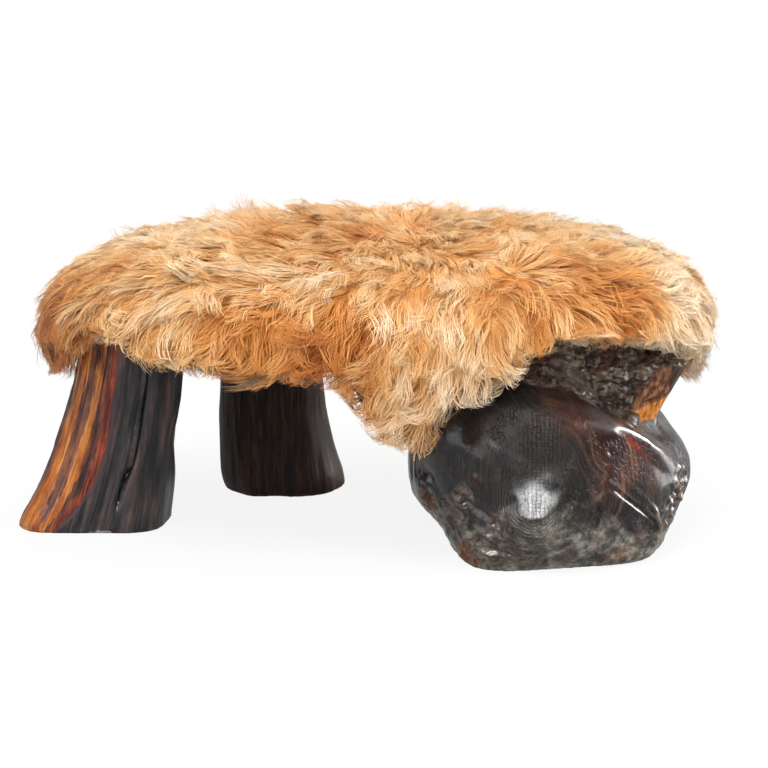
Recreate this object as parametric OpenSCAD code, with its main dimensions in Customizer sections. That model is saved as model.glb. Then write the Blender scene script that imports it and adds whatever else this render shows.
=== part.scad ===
// Bench stool of found wood: a live-edge plank on two split posts and one root burl,
// padded and covered all over by a single long-haired sheepskin.
// X runs along the seat, Y from front to back, Z up. The feet stand on Z = 0.

/* [Seat plank] */
// Half the length of the plank
seat_half_l = 383; // [368:1:398]
// Half the width of the plank
seat_half_w = 200; // [194:1:210]
// Squareness of the plank's outline, 2 is an ellipse
seat_square = 2.4; // [2.2:0.1:2.6]
// Distance of the plank's middle from the origin, along X
seat_x = 4; // [0:1:8]
// Thickness of the plank
plank_t = 24; // [20:1:32]
// How far the bark edge slopes in at the top and the bottom
bark_slope = 9; // [4:1:12]
// Height of the plank's underside above the floor
leg_h = 288; // [280:1:300]

/* [Upholstery] */
// Height of the foam pad at its crown
pad_h = 42; // [30:1:55]
// Thickness of the muslin over the pad
muslin_t = 1.2; // [0.8:0.1:2]
// Thickness of the sheepskin's leather
hide_t = 3; // [2:0.5:4]
// Depth of the pile on top of the seat
pile_top = 43; // [34:1:52]
// Depth of the pile around the sides
pile_side = 46; // [36:1:52]
// How far the pile hangs below the plank, away from the flaps
hem_drop = 45; // [38:1:52]
// How much lower the long flap at the front hangs
flap_drop = 80; // [60:2:96]
// How far the pile hangs below the edge of the leather
fringe = 12; // [8:1:20]
// Diameter of the upholstery nails' heads
nail_head_d = 8; // [6:0.5:10]
// Diameter of the upholstery nails' shanks
nail_d = 2; // [1.6:0.1:2.4]
// Length of the nails in the plank
nail_grip = 14; // [8:1:18]

/* [Left post] */
// Distance from the plank's left end to the middle of the post's top
left_inset = 76; // [72:1:90]
// Place of the post's top from front to back
left_y = -8; // [-14:1:6]
// Width of the post's top
left_top_w = 126; // [110:2:130]
// Depth of the post's top
left_top_d = 122; // [110:2:130]
// Width of the post's foot
left_foot_w = 188; // [176:2:196]
// Depth of the post's foot
left_foot_d = 154; // [140:2:164]
// How far the foot kicks out to the left of the top
left_kick = 56; // [44:1:60]
// How far the foot stands behind the top
left_back = 20; // [10:1:30]
// Depth of the long drying crack in the front of the post
crack_depth = 13; // [4:1:18]

/* [Rear post] */
// Distance from the plank's left end to the middle of the post's top
rear_along = 244; // [232:1:256]
// Distance from the plank's back edge to the middle of the post's top
rear_inset = 66; // [62:1:80]
// Width of the post's top
rear_top_w = 132; // [116:2:140]
// Depth of the post's top
rear_top_d = 108; // [96:2:112]
// Width of the post's foot
rear_foot_w = 172; // [150:2:180]
// Depth of the post's foot
rear_foot_d = 140; // [120:2:146]
// How far the foot kicks out to the right of the top
rear_kick = 16; // [4:1:22]
// How far the foot stands behind the top
rear_back = 21; // [12:1:26]

/* [Root burl] */
// Distance from the plank's right end to the burl's axis
burl_inset = 160; // [154:1:166]
// Distance of the burl's axis in front of the plank's middle
burl_front = 40; // [32:1:46]
// Reach of the burl to each side at its widest
burl_reach_x = 178; // [168:1:182]
// Reach of the burl's dome to the front
burl_reach_front = 200; // [190:1:206]
// Reach of the burl to the back
burl_reach_back = 168; // [156:1:178]
// Radius of the rough neck that carries the plank
neck_r = 120; // [108:1:124]
// Height of the dome's crest
dome_h = 232; // [222:1:238]
// Height where the burl is widest
belly_h = 100; // [90:1:110]
// Reach of the sawn branch stub beyond the neck
stub_reach = 78; // [66:1:82]

/* [Joinery] */
// Diameter of the turned tenons on the two posts
tenon_d = 50; // [40:1:56]
// Clearance around a tenon, a dowel or a screw
fit = 0.2; // [0.1:0.05:0.3]
// Thickness of a tenon wedge at its top
wedge_t = 6; // [4:0.5:8]
// Depth that a wedge is driven to
wedge_h = 20; // [14:1:20]
// Diameter of the dowels between plank and burl
dowel_d = 25; // [20:1:30]
// Diameter of the circle around the burl's axis that the dowels stand on
dowel_circle = 116; // [100:2:130]
// Depth of the dowels in the burl
dowel_grip = 45; // [30:1:60]
// Diameter of the lag screws
lag_d = 10; // [8:1:12]
// Diameter of the circle around the burl's axis that the lag screws stand on
lag_circle = 144; // [130:2:150]
// Depth of the lag screws in the burl
lag_grip = 70; // [50:1:90]
// Width across the flats of a lag screw's head
lag_head = 17; // [15:1:19]
// Height of a lag screw's head
lag_head_h = 7; // [5:0.5:8]
// Diameter of the washers
washer_d = 28; // [24:1:32]
// Thickness of the washers
washer_t = 2; // [1.5:0.5:3]

/* [Hidden] */
$fn = 48;

deck_h = leg_h + plank_t;
soft_gap = 0.4;
columns = 60;
col_a = 360 / columns;

// Colours of the wood and steel pieces
sapwood = [0.72, 0.40, 0.16];
darkwood = [0.15, 0.10, 0.08];
burlwood = [0.22, 0.12, 0.09];
pine = [0.80, 0.66, 0.46];
steel = [0.62, 0.62, 0.64];

function lerp(a, b, t) = a + (b - a) * t;
function wrap(a) = a - 360 * round(a / 360);
function bump(d, w) = exp(-d * d / (w * w));
function smooth(t) = let (u = min(1, max(0, t))) u * u * (3 - 2 * u);
function polar(r, a, z, c = [0, 0]) = [c.x + r * cos(a), c.y + r * sin(a), z];
function oval(a, rx, ry, n) = pow(pow(abs(cos(a)) / rx, n) + pow(abs(sin(a)) / ry, n), -1 / n);

// Closed solid from rings of points, from the lowest to the highest ring. A pole closes an end
// in a point, and an end with no pole is closed by a flat face.
module loft(rings, first_pole, last_pole) {
    n = len(rings[0]);
    m = len(rings);
    poles = [for (p = [first_pole, last_pole]) if (!is_undef(p)) p];
    last_i = m * n + len(poles) - 1;
    sides = [
        for (j = [0 : m - 2], i = [0 : n - 1])
            let (k = (i + 1) % n)
            each [
                [j * n + i, (j + 1) * n + i, (j + 1) * n + k],
                [j * n + i, (j + 1) * n + k, j * n + k]
            ]
    ];
    start = is_undef(first_pole)
        ? [[for (i = [0 : n - 1]) i]]
        : [for (i = [0 : n - 1]) [m * n, i, (i + 1) % n]];
    finish = is_undef(last_pole)
        ? [[for (i = [n - 1 : -1 : 0]) (m - 1) * n + i]]
        : [for (i = [0 : n - 1]) [(m - 1) * n + (i + 1) % n, (m - 1) * n + i, last_i]];
    polyhedron([each [for (r = rings) each r], each poles], [each start, each sides, each finish],
               convexity = 8);
}

// Seat outline, larger than the plank by grow
function seat_r(a, grow = 0) =
    oval(a, seat_half_l + grow, seat_half_w + grow, seat_square)
    + 3 * sin(3 * a + 40) + 2 * cos(5 * a);
function seat_point(a, z, grow = 0) = polar(seat_r(a, grow), a, z, [seat_x, 0]);

// Left post: a split log, kicked out to the left, cracked down its front
left_top = [seat_x - seat_half_l + left_inset, left_y];
left_foot = [left_top.x - left_kick, left_top.y + left_back];
crack_a = -71;
crack_half = 2.2;
function left_flare(z) = pow(1 - z / leg_h, 1.6);
function left_axis(z) = lerp(left_top, left_foot, left_flare(z));
function left_r(a, z) =
    let (
        t = z / leg_h,
        f = left_flare(z),
        rx = lerp(left_top_w, left_foot_w, f) / 2,
        ry = lerp(left_top_d, left_foot_d, f) / 2
    )
    oval(a, rx, ry, lerp(2.6, 3.4, f))
    + 1.8 * cos(7 * a + 50) + 1.2 * cos(11 * a + 43 * t)
    + 4 * bump(wrap(a - 188), 24) * bump(t, 0.14)
    + (11 * bump(wrap(a + 142), 17) + 5 * bump(wrap(a + 44), 14)) * bump(t, 0.17)
    - 7 * bump(wrap(a + 6), 26) * bump(t - 0.39, 0.12)
    - 3 * bump(wrap(a + 100), 9) * smooth(t / 0.42);
function crack(z) = crack_depth * smooth((z / leg_h - 0.04) / 0.2);
function left_ring(z) = [
    for (a = [0, crack_half, each [for (k = [1 : 41]) 360 * k / 42], 360 - crack_half])
        polar(left_r(crack_a + a, z) - (a == 0 ? crack(z) : 0), crack_a + a, z, left_axis(z))
];
// Rings of both posts, in parts of their height
post_levels = [0, 0.025, 0.075, 0.145, 0.22, 0.305, 0.39, 0.48, 0.575, 0.68, 0.79, 0.9, 1];

// Rear post: a short log whose foot spreads to the right
rear_top = [seat_x - seat_half_l + rear_along, seat_half_w - rear_inset];
rear_foot = [rear_top.x + rear_kick, rear_top.y + rear_back];
function rear_flare(z) = pow(max(0, 1 - 2.4 * z / leg_h), 1.5);
function rear_axis(z) = [
    lerp(rear_top.x, rear_foot.x, rear_flare(z)),
    lerp(rear_top.y, rear_foot.y, 1 - smooth(z / leg_h))
];
function rear_r(a, z) =
    let (
        t = z / leg_h,
        f = rear_flare(z),
        rx = lerp(rear_top_w, rear_foot_w, f) / 2 + 5 * bump(t - 0.31, 0.21),
        ry = lerp(rear_top_d, rear_foot_d, 1 - smooth(z / leg_h)) / 2
    )
    oval(a, rx, ry, 2.5) + 2 * cos(6 * a + 20) + 1.3 * cos(9 * a - 58 * t) - 6 * bump(t, 0.03);
function rear_ring(z) = [for (k = [0 : 35]) polar(rear_r(k * 10, z), k * 10, z, rear_axis(z))];

// Root burl. The smooth dome ends in a crest, lowest above the right lobe, and the rough neck
// stands back from it. Each lobe is [direction, height, swell, spread round, spread up].
burl_axis = [seat_x + seat_half_l - burl_inset, -burl_front];
crest_dip = 84;
lobes = [
    [-20, 80, 10, 27, 36],
    [-118, 0, 20, 18, 46],
    [-84, 0, -18, 24, 44],
    [-48, 0, 6, 14, 50],
    [180, 0, -38, 46, 44],
    [176, 48, 9, 34, 24],
    [5, 16, -17, 32, 42],
    [-140, 150, 9, 20, 40],
    [128, 60, 14, 24, 48],
    [70, 150, 12, 26, 46],
    [55, 20, 10, 18, 40],
    [-93, 58, 10, 13, 40],
    [-98, 140, -4, 12, 34],
    [-116, 85, -4, 9, 24],
    [-121, 18, 5, 8, 22],
    [-154, 82, 6, 6, 16],
    [-58, 40, 6, 8, 20],
    [-49, 40, 6, 5, 26]
];
// Lip of the dome: a rounded ridge from below the crest down across the right lobe. Its two ends
// are [direction, height].
lip = [[-72, 206], [-34, 118]];
lip_swell = 8;
lip_half_w = 12;
stub_a = -24;
stub_spread = 14;
stub_top_h = dome_h + 8;
// Flat cuts of the stub, each with a point from the burl's axis and the way that the cut faces:
// the sawn front, and the split end on the right, which leans out at the top
cuts = [
    [[135, -83, 206], [0.43, -0.82, -0.39]],
    [[155, -110, 206], [0.90, 0, -0.43]]
];
function crest(a) = let (d = wrap(a + 22)) dome_h - crest_dip * bump(d, d > 0 ? 84 : 50);
function dome_r(a, z) =
    let (
        ry = sin(a) < 0 ? burl_reach_front : burl_reach_back,
        tall = 235 - (z > belly_h ? 152 * bump(wrap(a - 4), 44) : 0)
    )
    oval(a, burl_reach_x, ry, 2) * sqrt(max(0.1, 1 - pow((z - belly_h) / tall, 2)));
function cut_r(a, z) = min([
    for (c = cuts)
        let (toward = c[1] * [cos(a), sin(a), 0])
        toward < 0.05 ? 1000 : c[1] * (c[0] - [0, 0, z]) / toward
]);
function stub_r(a, z) =
    stub_reach * bump(wrap(a - stub_a), stub_spread)
    * smooth((z - 130) / 40) * (1 - smooth((z - stub_top_h) / 22));
function lip_r(a, z) =
    let (t = (wrap(a) - lip[0][0]) / (lip[1][0] - lip[0][0]))
    t < 0 || t > 1 ? 0 : lip_swell * sqrt(sin(180 * t)) * bump(z - lerp(lip[0][1], lip[1][1], t), lip_half_w);
function rough(a, z) = 4 * sin(5 * a + 2.1 * z) * cos(7 * a - 1.3 * z);
function neck_r_at(a, z) =
    min(neck_r + 7 * cos(2 * a) + 4 * cos(5 * a + 0.5 * z) + rough(a, z) + stub_r(a, z), cut_r(a, z));
function burl_r(a, z) =
    let (up = smooth((z - crest(a) + 16) / 42))
    lerp(dome_r(a, z), neck_r_at(a, z), up)
    + (1 - up) * (
        lip_r(a, z) + [for (l = lobes) l[2] * bump(wrap(a - l[0]), l[3]) * bump(z - l[1], l[4])]
        * [for (l = lobes) 1]
    );
burl_columns = 80;
// Rings of the burl run along its crest: level 0 is the sole, 1 the crest and 2 the top
burl_levels = [
    0, 0.03, 0.09, 0.17, 0.26, 0.35, 0.44, 0.53, 0.62, 0.7, 0.78, 0.85, 0.92,
    1, 1.07, 1.15, 1.25, 1.36, 1.47, 1.57, 1.66, 1.74, 1.82, 1.9, 2
];
function burl_z(a, level) =
    level < 1 ? level * crest(a) : lerp(crest(a), leg_h, level - 1);
function burl_ring(level) = [
    for (k = [0 : burl_columns - 1])
        let (a = 360 * k / burl_columns, z = burl_z(a, level)) polar(burl_r(a, z), a, z, burl_axis)
];

// Fixings of the burl, as places around its axis
dowel_places = [for (a = [60, 240]) polar(dowel_circle / 2, a, 0, burl_axis)];
lag_places = [for (a = [0, 150, 300]) polar(lag_circle / 2, a, 0, burl_axis)];
sink_d = washer_d + 2;
sink_h = lag_head_h + washer_t + 1;
pilot_gap = 2;

// Wedges: the kerf in each tenon is as wide as the wedge's top, and tapers with it
wedge_w = tenon_d - 4;
wedge_tip = 1.5;

// Soft layers. Each is a dome over the plank whose edge hangs to a hem. Layer 0 is the pad's
// surface, and the others lie outside it by their own thicknesses and the gaps between.
pad_over = 4;
skirt_h = leg_h + 0.42 * plank_t;
muslin_in = soft_gap;
muslin_out = muslin_in + muslin_t;
hide_in = muslin_out + soft_gap;
hide_out = hide_in + hide_t;
wool_in = hide_out + soft_gap;
pad_crown = deck_h + soft_gap + pad_h;
dome_n = 2.8;

// Hem of the pile: each wave is [direction, rise in parts of the flap's drop, spread]. The long
// flap, from a leg of the fleece, is at the front.
hem_waves = [
    [-76, -1, 7], [-88, -0.75, 8], [-60, -0.23, 7], [-40, 0.47, 12], [-26, 0.22, 9],
    [8, -0.88, 8], [-153, 0.4, 8], [178, -0.47, 16], [150, 0.18, 10], [118, -0.38, 9],
    [62, -0.2, 14], [35, 0.18, 10]
];
function hem(a) = leg_h - hem_drop + flap_drop * (
    [for (w = hem_waves) w[1] * bump(wrap(a - w[0]), w[2])] * [for (w = hem_waves) 1]
);

// Point of a layer that is out beyond the pad: part 0 is the crown, 1 the side, 2 the hem at low
function layer_point(a, part, out, low) =
    let (
        r = seat_r(a, pad_over + out),
        t = min(1, part),
        s = pow(sin(90 * t), 0.8),
        rise = pad_crown + out - skirt_h
    )
    part <= 1
        ? polar(r * s, a, skirt_h + rise * pow(1 - pow(s, dome_n), 1 / dome_n), [seat_x, 0])
        : polar(r, a, lerp(skirt_h, low, part - 1), [seat_x, 0]);
function layer_ring(part, out, drop = 0) =
    [for (k = [0 : columns - 1]) layer_point(k * col_a, part, out, hem(k * col_a) + drop)];
function layer_end(out, z) = [for (k = [0 : columns - 1]) layer_point(k * col_a, 2, out, z)];

// Every layer has its dome's rings at the same parts, so that facets lie on facets
dome_parts = [0.2, 0.4, 0.56, 0.7, 0.81, 0.91, 1];
skirt_parts = [1.5, 2];
function reversed(list) = [for (i = [len(list) - 1 : -1 : 0]) list[i]];

// Outside of the pile: fuller than the leather, with lumps, fullest at the right end and just
// below the plank, and drawn in towards the hem
pile_skirt_h = leg_h - 0.55 * hem_drop;
pile_crown = pad_crown + wool_in + pile_top;
pile_n = 2.35;
function lumps(a, part) = pile_side * (
    0.09 * sin(3 * a + 190 * part) * sin(100 * part) + 0.06 * cos(7 * a - 160 * part) * sin(80 * part)
);
function pile_point(a, part) =
    let (
        grow = pad_over + wool_in + pile_side,
        s = pow(sin(90 * min(1, part)), 0.85),
        rise = pile_crown - pile_skirt_h,
        r = seat_r(a, grow) + lumps(a, part) + 0.2 * pile_side * bump(wrap(a - 4), 24) * s,
        down = max(0, part - 1)
    )
    part <= 1
        ? polar(r * s, a, pile_skirt_h + rise * pow(1 - pow(s, pile_n), 1 / pile_n), [seat_x, 0])
        : polar(r - fringe * down * down, a, lerp(pile_skirt_h, hem(a), down), [seat_x, 0]);
function pile_ring(part) = [for (k = [0 : columns - 1]) pile_point(k * col_a, part)];

// Nails stand square to the middle of every fourth facet of the leather
nail_count = 15;
nail_z = leg_h + 0.3 * plank_t;
module at_nails() {
    for (k = [0 : nail_count - 1]) {
        a = (k * columns / nail_count + 0.5) * col_a;
        p = seat_point(a - col_a / 2, nail_z, pad_over + hide_out);
        q = seat_point(a + col_a / 2, nail_z, pad_over + hide_out);
        translate((p + q) / 2) rotate([0, 90, atan2(q.y - p.y, q.x - p.x) - 90]) children();
    }
}
nail_l = pad_over + hide_out + bark_slope + nail_grip;
head_t = 1.2;

module post_tenon(c) {
    difference() {
        translate([c.x, c.y, leg_h - 4]) cylinder(d = tenon_d, h = plank_t + 4);
        wedge(c, tenon_d + 2, 1);
    }
}

// Wedge of width w, whose top stands over above the plank
module wedge(c, w = wedge_w, over = 0) {
    tip = wedge_tip / 2;
    top = wedge_t / 2;
    translate([c.x, c.y + w / 2, deck_h]) rotate([90, 0, 0]) linear_extrude(w)
        polygon([[-tip, -wedge_h], [tip, -wedge_h], [top, 0], [top, over], [-top, over], [-top, 0]]);
}

module left_leg() {
    color(sapwood) {
        loft([for (t = post_levels) left_ring(t * leg_h)]);
        post_tenon(left_top);
    }
}

module rear_leg() {
    color(darkwood) {
        loft([for (t = post_levels) rear_ring(t * leg_h)]);
        post_tenon(rear_top);
    }
}

module burl_leg() {
    color(burlwood) difference() {
        loft([for (level = burl_levels) burl_ring(level)]);
        for (p = dowel_places)
            translate([p.x, p.y, leg_h - dowel_grip]) cylinder(d = dowel_d + 2 * fit, h = dowel_grip + 1);
        for (p = lag_places)
            translate([p.x, p.y, leg_h - lag_grip - pilot_gap])
                cylinder(d = lag_d + 2 * fit, h = lag_grip + pilot_gap + 1);
    }
}

module seat_plank() {
    edge = plank_t * 0.55;
    color(pine) difference() {
        loft([
            [for (k = [0 : columns - 1]) seat_point(k * col_a, leg_h, -bark_slope)],
            [for (k = [0 : columns - 1]) seat_point(k * col_a, leg_h + edge, 0)],
            [for (k = [0 : columns - 1]) seat_point(k * col_a, deck_h, -bark_slope)]
        ]);
        for (c = [left_top, rear_top])
            translate([c.x, c.y, leg_h - 1]) cylinder(d = tenon_d + 2 * fit, h = plank_t + 2);
        for (p = dowel_places)
            translate([p.x, p.y, leg_h - 1]) cylinder(d = dowel_d + 2 * fit, h = plank_t + 2);
        for (p = lag_places) {
            translate([p.x, p.y, leg_h - 1]) cylinder(d = lag_d + 2 * fit, h = plank_t + 2);
            translate([p.x, p.y, deck_h - sink_h]) cylinder(d = sink_d, h = sink_h + 1);
        }
        at_nails() translate([0, 0, -nail_l]) cylinder(d = nail_d, h = nail_l, $fn = 16);
    }
}

module left_wedge() {
    color(pine) wedge(left_top);
}

module rear_wedge() {
    color(pine) wedge(rear_top);
}

module burl_dowels() {
    color(pine) for (p = dowel_places)
        translate([p.x, p.y, leg_h - dowel_grip]) cylinder(d = dowel_d, h = dowel_grip + plank_t);
}

module lag_screws() {
    head_z = deck_h - sink_h + washer_t;
    color(steel) for (p = lag_places) {
        translate([p.x, p.y, leg_h - lag_grip]) cylinder(d = lag_d, h = head_z - leg_h + lag_grip);
        translate([p.x, p.y, head_z]) cylinder(d = lag_head / cos(30), h = lag_head_h, $fn = 6);
    }
}

module lag_washers() {
    color(steel) for (p = lag_places) translate([p.x, p.y, deck_h - sink_h]) difference() {
        cylinder(d = washer_d, h = washer_t);
        translate([0, 0, -1]) cylinder(d = lag_d + 2 * fit, h = washer_t + 2);
    }
}

module foam_pad() {
    // The pad ends where its dome comes down to the plank
    rim = deck_h + soft_gap;
    above = [for (t = dome_parts) if (layer_point(0, t, 0, 0).z > rim) t];
    below = dome_parts[len(above)];
    low = layer_ring(below, 0);
    high = layer_ring(above[len(above) - 1], 0);
    part = (rim - low[0].z) / (high[0].z - low[0].z);
    color("Ivory") loft(
        [
            [for (k = [0 : columns - 1]) lerp(low[k], high[k], part)],
            for (t = reversed(above)) layer_ring(t, 0)
        ],
        undef, [seat_x, 0, pad_crown]
    );
}

module muslin_cover() {
    muslin_end = plank_t / 3;
    color("Linen") difference() {
        loft(
            [
                for (t = dome_parts) layer_ring(t, muslin_in),
                layer_end(muslin_in, skirt_h - muslin_end),
                layer_end(muslin_out, skirt_h - muslin_end),
                for (t = reversed(dome_parts)) layer_ring(t, muslin_out)
            ],
            [seat_x, 0, pad_crown + muslin_in], [seat_x, 0, pad_crown + muslin_out]
        );
        at_nails() translate([0, 0, -nail_l]) cylinder(d = nail_d, h = nail_l, $fn = 16);
    }
}

module hide() {
    parts = [each dome_parts, each skirt_parts];
    color("Tan") difference() {
        loft(
            [
                for (t = parts) layer_ring(t, hide_in, fringe),
                for (t = reversed(parts)) layer_ring(t, hide_out, fringe)
            ],
            [seat_x, 0, pad_crown + hide_in], [seat_x, 0, pad_crown + hide_out]
        );
        at_nails() translate([0, 0, -nail_l]) cylinder(d = nail_d, h = nail_l + 1, $fn = 16);
    }
}

module upholstery_nails() {
    color("Peru") at_nails() {
        translate([0, 0, -nail_l]) cylinder(d = nail_d, h = nail_l, $fn = 16);
        cylinder(d = nail_head_d, h = head_t, $fn = 24);
    }
}

module wool() {
    pile_parts = [0.2, 0.4, 0.56, 0.7, 0.81, 0.91, 1, 1.35, 1.7, 2];
    color([0.87, 0.68, 0.47]) difference() {
        loft(
            [
                for (t = dome_parts) layer_ring(t, wool_in),
                for (t = skirt_parts) layer_ring(t, wool_in, fringe),
                for (t = reversed(pile_parts)) pile_ring(t)
            ],
            [seat_x, 0, pad_crown + wool_in], [seat_x, 0, pile_crown]
        );
        at_nails() cylinder(d = nail_head_d + 1, h = head_t + 1, $fn = 24);
    }
}

left_leg();
rear_leg();
burl_leg();
seat_plank();
left_wedge();
rear_wedge();
burl_dowels();
lag_screws();
lag_washers();
foam_pad();
muslin_cover();
hide();
upholstery_nails();
wool();
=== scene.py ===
import math
from functools import reduce
import bmesh
import bpy
import numpy as np
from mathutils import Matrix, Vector
from mathutils.kdtree import KDTree


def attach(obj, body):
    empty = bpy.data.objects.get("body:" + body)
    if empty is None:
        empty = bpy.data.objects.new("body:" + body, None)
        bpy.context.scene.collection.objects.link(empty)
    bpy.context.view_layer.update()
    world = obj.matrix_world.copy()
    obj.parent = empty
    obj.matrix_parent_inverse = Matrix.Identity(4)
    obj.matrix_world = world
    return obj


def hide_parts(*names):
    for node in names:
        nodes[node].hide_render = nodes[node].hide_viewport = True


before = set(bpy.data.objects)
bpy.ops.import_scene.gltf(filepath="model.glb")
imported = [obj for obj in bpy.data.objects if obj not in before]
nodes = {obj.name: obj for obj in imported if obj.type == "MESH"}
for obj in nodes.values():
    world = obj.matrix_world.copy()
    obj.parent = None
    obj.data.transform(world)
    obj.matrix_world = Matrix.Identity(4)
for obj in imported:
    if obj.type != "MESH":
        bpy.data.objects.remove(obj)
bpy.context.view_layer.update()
collection = bpy.context.scene.collection


# Camera, light and floor

photoView = {
    "aim": (0.018, -0.067, 0.200),  # the point that the camera looks at
    "distance": 3.2,
    "tilt": 15.0,  # degrees above level
    "lens": 118.1,
    "sensor": 36,
}
studio = {
    "lamps": [  # name, place, aim, width, height, watts, colour
        ("keyLamp", (-0.6, -1.5, 2.8), (0.0, 0.0, 0.30), 1.5, 1.2, 68, (1.0, 0.985, 0.96)),
        ("topLamp", (0.4, 0.1, 2.8), (0.0, 0.0, 0.20), 1.6, 1.2, 40, (1.0, 0.99, 0.98)),
        ("rightLamp", (2.3, -1.2, 1.7), (0.1, -0.1, 0.25), 0.7, 1.0, 26, (1.0, 1.0, 1.0)),
    ],
    "ambient": 0.46,  # strength of the world's light
    "mirrored": 0.05,  # strength of the darkest part of the room in reflections
    "mirrorSpots": [  # pale panels that polish shows: direction, half width and softness in degrees, strength
        ((-0.91, -0.36, 0.25), 19, 4, 1.7), ((0.66, 0.42, 0.62), 9, 3, 18.0),
        ((0.77, 0.36, 0.50), 12, 3, 18.0), ((0.86, 0.28, 0.36), 13, 3, 16.0),
        ((0.90, 0.32, 0.18), 10, 3, 12.0), ((0.92, 0.36, 0.04), 8, 3, 12.0),
        ((-0.52, -0.74, 0.43), 13, 4, 12.0), ((-0.22, -0.85, 0.50), 14, 4, 12.0),
        ((0.07, -0.88, 0.46), 11, 4, 11.0),
    ],
    "floorRadius": 30,
    "floorColour": (0.86, 0.86, 0.85),
    "floorLift": 0.88,  # how much of the floor under the stool is plain white for the camera
    "shadowReach": 0.75,  # beyond this, in metres, the floor is all white for the camera
    "floorMirror": 0.38,  # how bright the floor is in reflections
    "floorSheen": 4.0,  # how much brighter it is there in a strip that runs off to the right of the burl
    "sheenStart": (0.36, -0.17),  # where that strip starts
    "sheenSlopes": (0.15, 0.30, 0.60, 0.72),  # its edges, in metres to the back for each metre to the right
    "sheenRun": (0.33, 0.45),  # how far to the right it begins and is full
}


def addNode(tree, kind, values=None, **settings):
    node = tree.nodes.new(kind)
    for key, value in settings.items():
        setattr(node, key, value)
    for key, value in (values or {}).items():
        if isinstance(value, bpy.types.NodeSocket):
            tree.links.new(value, node.inputs[key])
        else:
            node.inputs[key].default_value = value
    return node


def aimAt(thing, target):
    direction = Vector(target) - thing.location
    thing.rotation_euler = direction.to_track_quat("-Z", "Y").to_euler()


def makeCamera():
    tilt = math.radians(photoView["tilt"])
    offset = Vector((0, -math.cos(tilt), math.sin(tilt))) * photoView["distance"]
    data = bpy.data.cameras.new("photoCamera")
    data.lens = photoView["lens"]
    data.sensor_width = photoView["sensor"]
    camera = bpy.data.objects.new("photoCamera", data)
    camera.location = Vector(photoView["aim"]) + offset
    aimAt(camera, photoView["aim"])
    collection.objects.link(camera)
    bpy.context.scene.camera = camera


def makeLamps():
    for name, place, target, width, height, watts, colour in studio["lamps"]:
        data = bpy.data.lights.new(name, "AREA")
        data.shape = "RECTANGLE"
        data.size, data.size_y = width, height
        data.energy = watts
        data.color = colour
        lamp = bpy.data.objects.new(name, data)
        lamp.location = place
        lamp.visible_glossy = False  # polish shows mirrorSpots instead
        aimAt(lamp, target)
        collection.objects.link(lamp)


def makeWorld():
    world = bpy.data.worlds.new("studioRoom")
    bpy.context.scene.world = world
    world.use_nodes = True
    tree = world.node_tree
    tree.nodes.clear()
    path = addNode(tree, "ShaderNodeLightPath")
    towards = addNode(tree, "ShaderNodeTexCoord").outputs["Generated"]
    _, north, up = partsOf(tree, towards)
    # in reflections the room is pale low down, all the more so at the back, and dark above
    fade = rangeOn(tree, up, 0.0, 0.35, 1.0, 0.0)
    pale = times(tree, fade, fade, rangeOn(tree, north, -0.1, 0.6, 0.12, 0.45))
    mirrored = rangeOn(tree, pale, 0.0, 1.0, studio["mirrored"], 1.0)
    for direction, width, softness, strength in studio["mirrorSpots"]:
        unit = Vector(direction).normalized()
        near = addNode(tree, "ShaderNodeVectorMath", {0: towards, 1: unit[:]}, operation="DOT_PRODUCT")
        outer, inner = (math.cos(math.radians(width + side * softness)) for side in (1, -1))
        spot = rangeOn(tree, near.outputs["Value"], outer, inner, 0.0, strength)
        mirrored = plus(tree, mirrored, spot)
    light = mixValues(tree, path.outputs["Is Glossy Ray"], studio["ambient"], mirrored)
    shown = larger(tree, path.outputs["Is Camera Ray"], path.outputs["Is Transmission Ray"])
    strength = mixValues(tree, shown, light, 1.0)
    background = addNode(tree, "ShaderNodeBackground", {"Color": (1, 1, 1, 1), "Strength": strength})
    output = addNode(tree, "ShaderNodeOutputWorld")
    tree.links.new(background.outputs[0], output.inputs[0])


def makeFloor():
    bm = bmesh.new()
    bmesh.ops.create_circle(bm, cap_ends=True, segments=96, radius=studio["floorRadius"])
    floor = finishMesh(bm, "studioFloor")
    material = bpy.data.materials.new("paleFloor")
    material.use_nodes = True
    tree = material.node_tree
    tree.nodes.clear()
    path = addNode(tree, "ShaderNodeLightPath")
    lit = addNode(tree, "ShaderNodeBsdfDiffuse", {"Color": (*studio["floorColour"], 1)})
    place = objectPlace(tree)
    east, north, _ = partsOf(tree, place)
    startEast, startNorth = studio["sheenStart"]
    run = mathOn(tree, "SUBTRACT", east, startEast)
    slope = mathOn(tree, "DIVIDE", mathOn(tree, "SUBTRACT", north, startNorth), run)
    nearEdge, nearFull, farFull, farEdge = studio["sheenSlopes"]
    strip = times(tree, rangeOn(tree, slope, nearEdge, nearFull), rangeOn(tree, slope, farEdge, farFull),
                  rangeOn(tree, run, *studio["sheenRun"], 0.0, studio["floorSheen"]))
    level = mixValues(tree, path.outputs["Is Glossy Ray"], 1.0, plus(tree, strip, studio["floorMirror"]))
    plain = addNode(tree, "ShaderNodeEmission", {"Color": (1, 1, 1, 1), "Strength": level})
    away = addNode(tree, "ShaderNodeVectorMath", {0: place}, operation="LENGTH").outputs["Value"]
    lift = rangeOn(tree, away, studio["shadowReach"] * 0.5, studio["shadowReach"], studio["floorLift"], 1.0)
    seen = times(tree, path.outputs["Is Camera Ray"], lift)
    share = larger(tree, seen, path.outputs["Is Glossy Ray"], path.outputs["Is Transmission Ray"])
    mix = addNode(tree, "ShaderNodeMixShader", {0: share, 1: lit.outputs[0], 2: plain.outputs[0]})
    output = addNode(tree, "ShaderNodeOutputMaterial")
    tree.links.new(mix.outputs[0], output.inputs[0])
    floor.data.materials.append(material)


# Meshes

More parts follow.
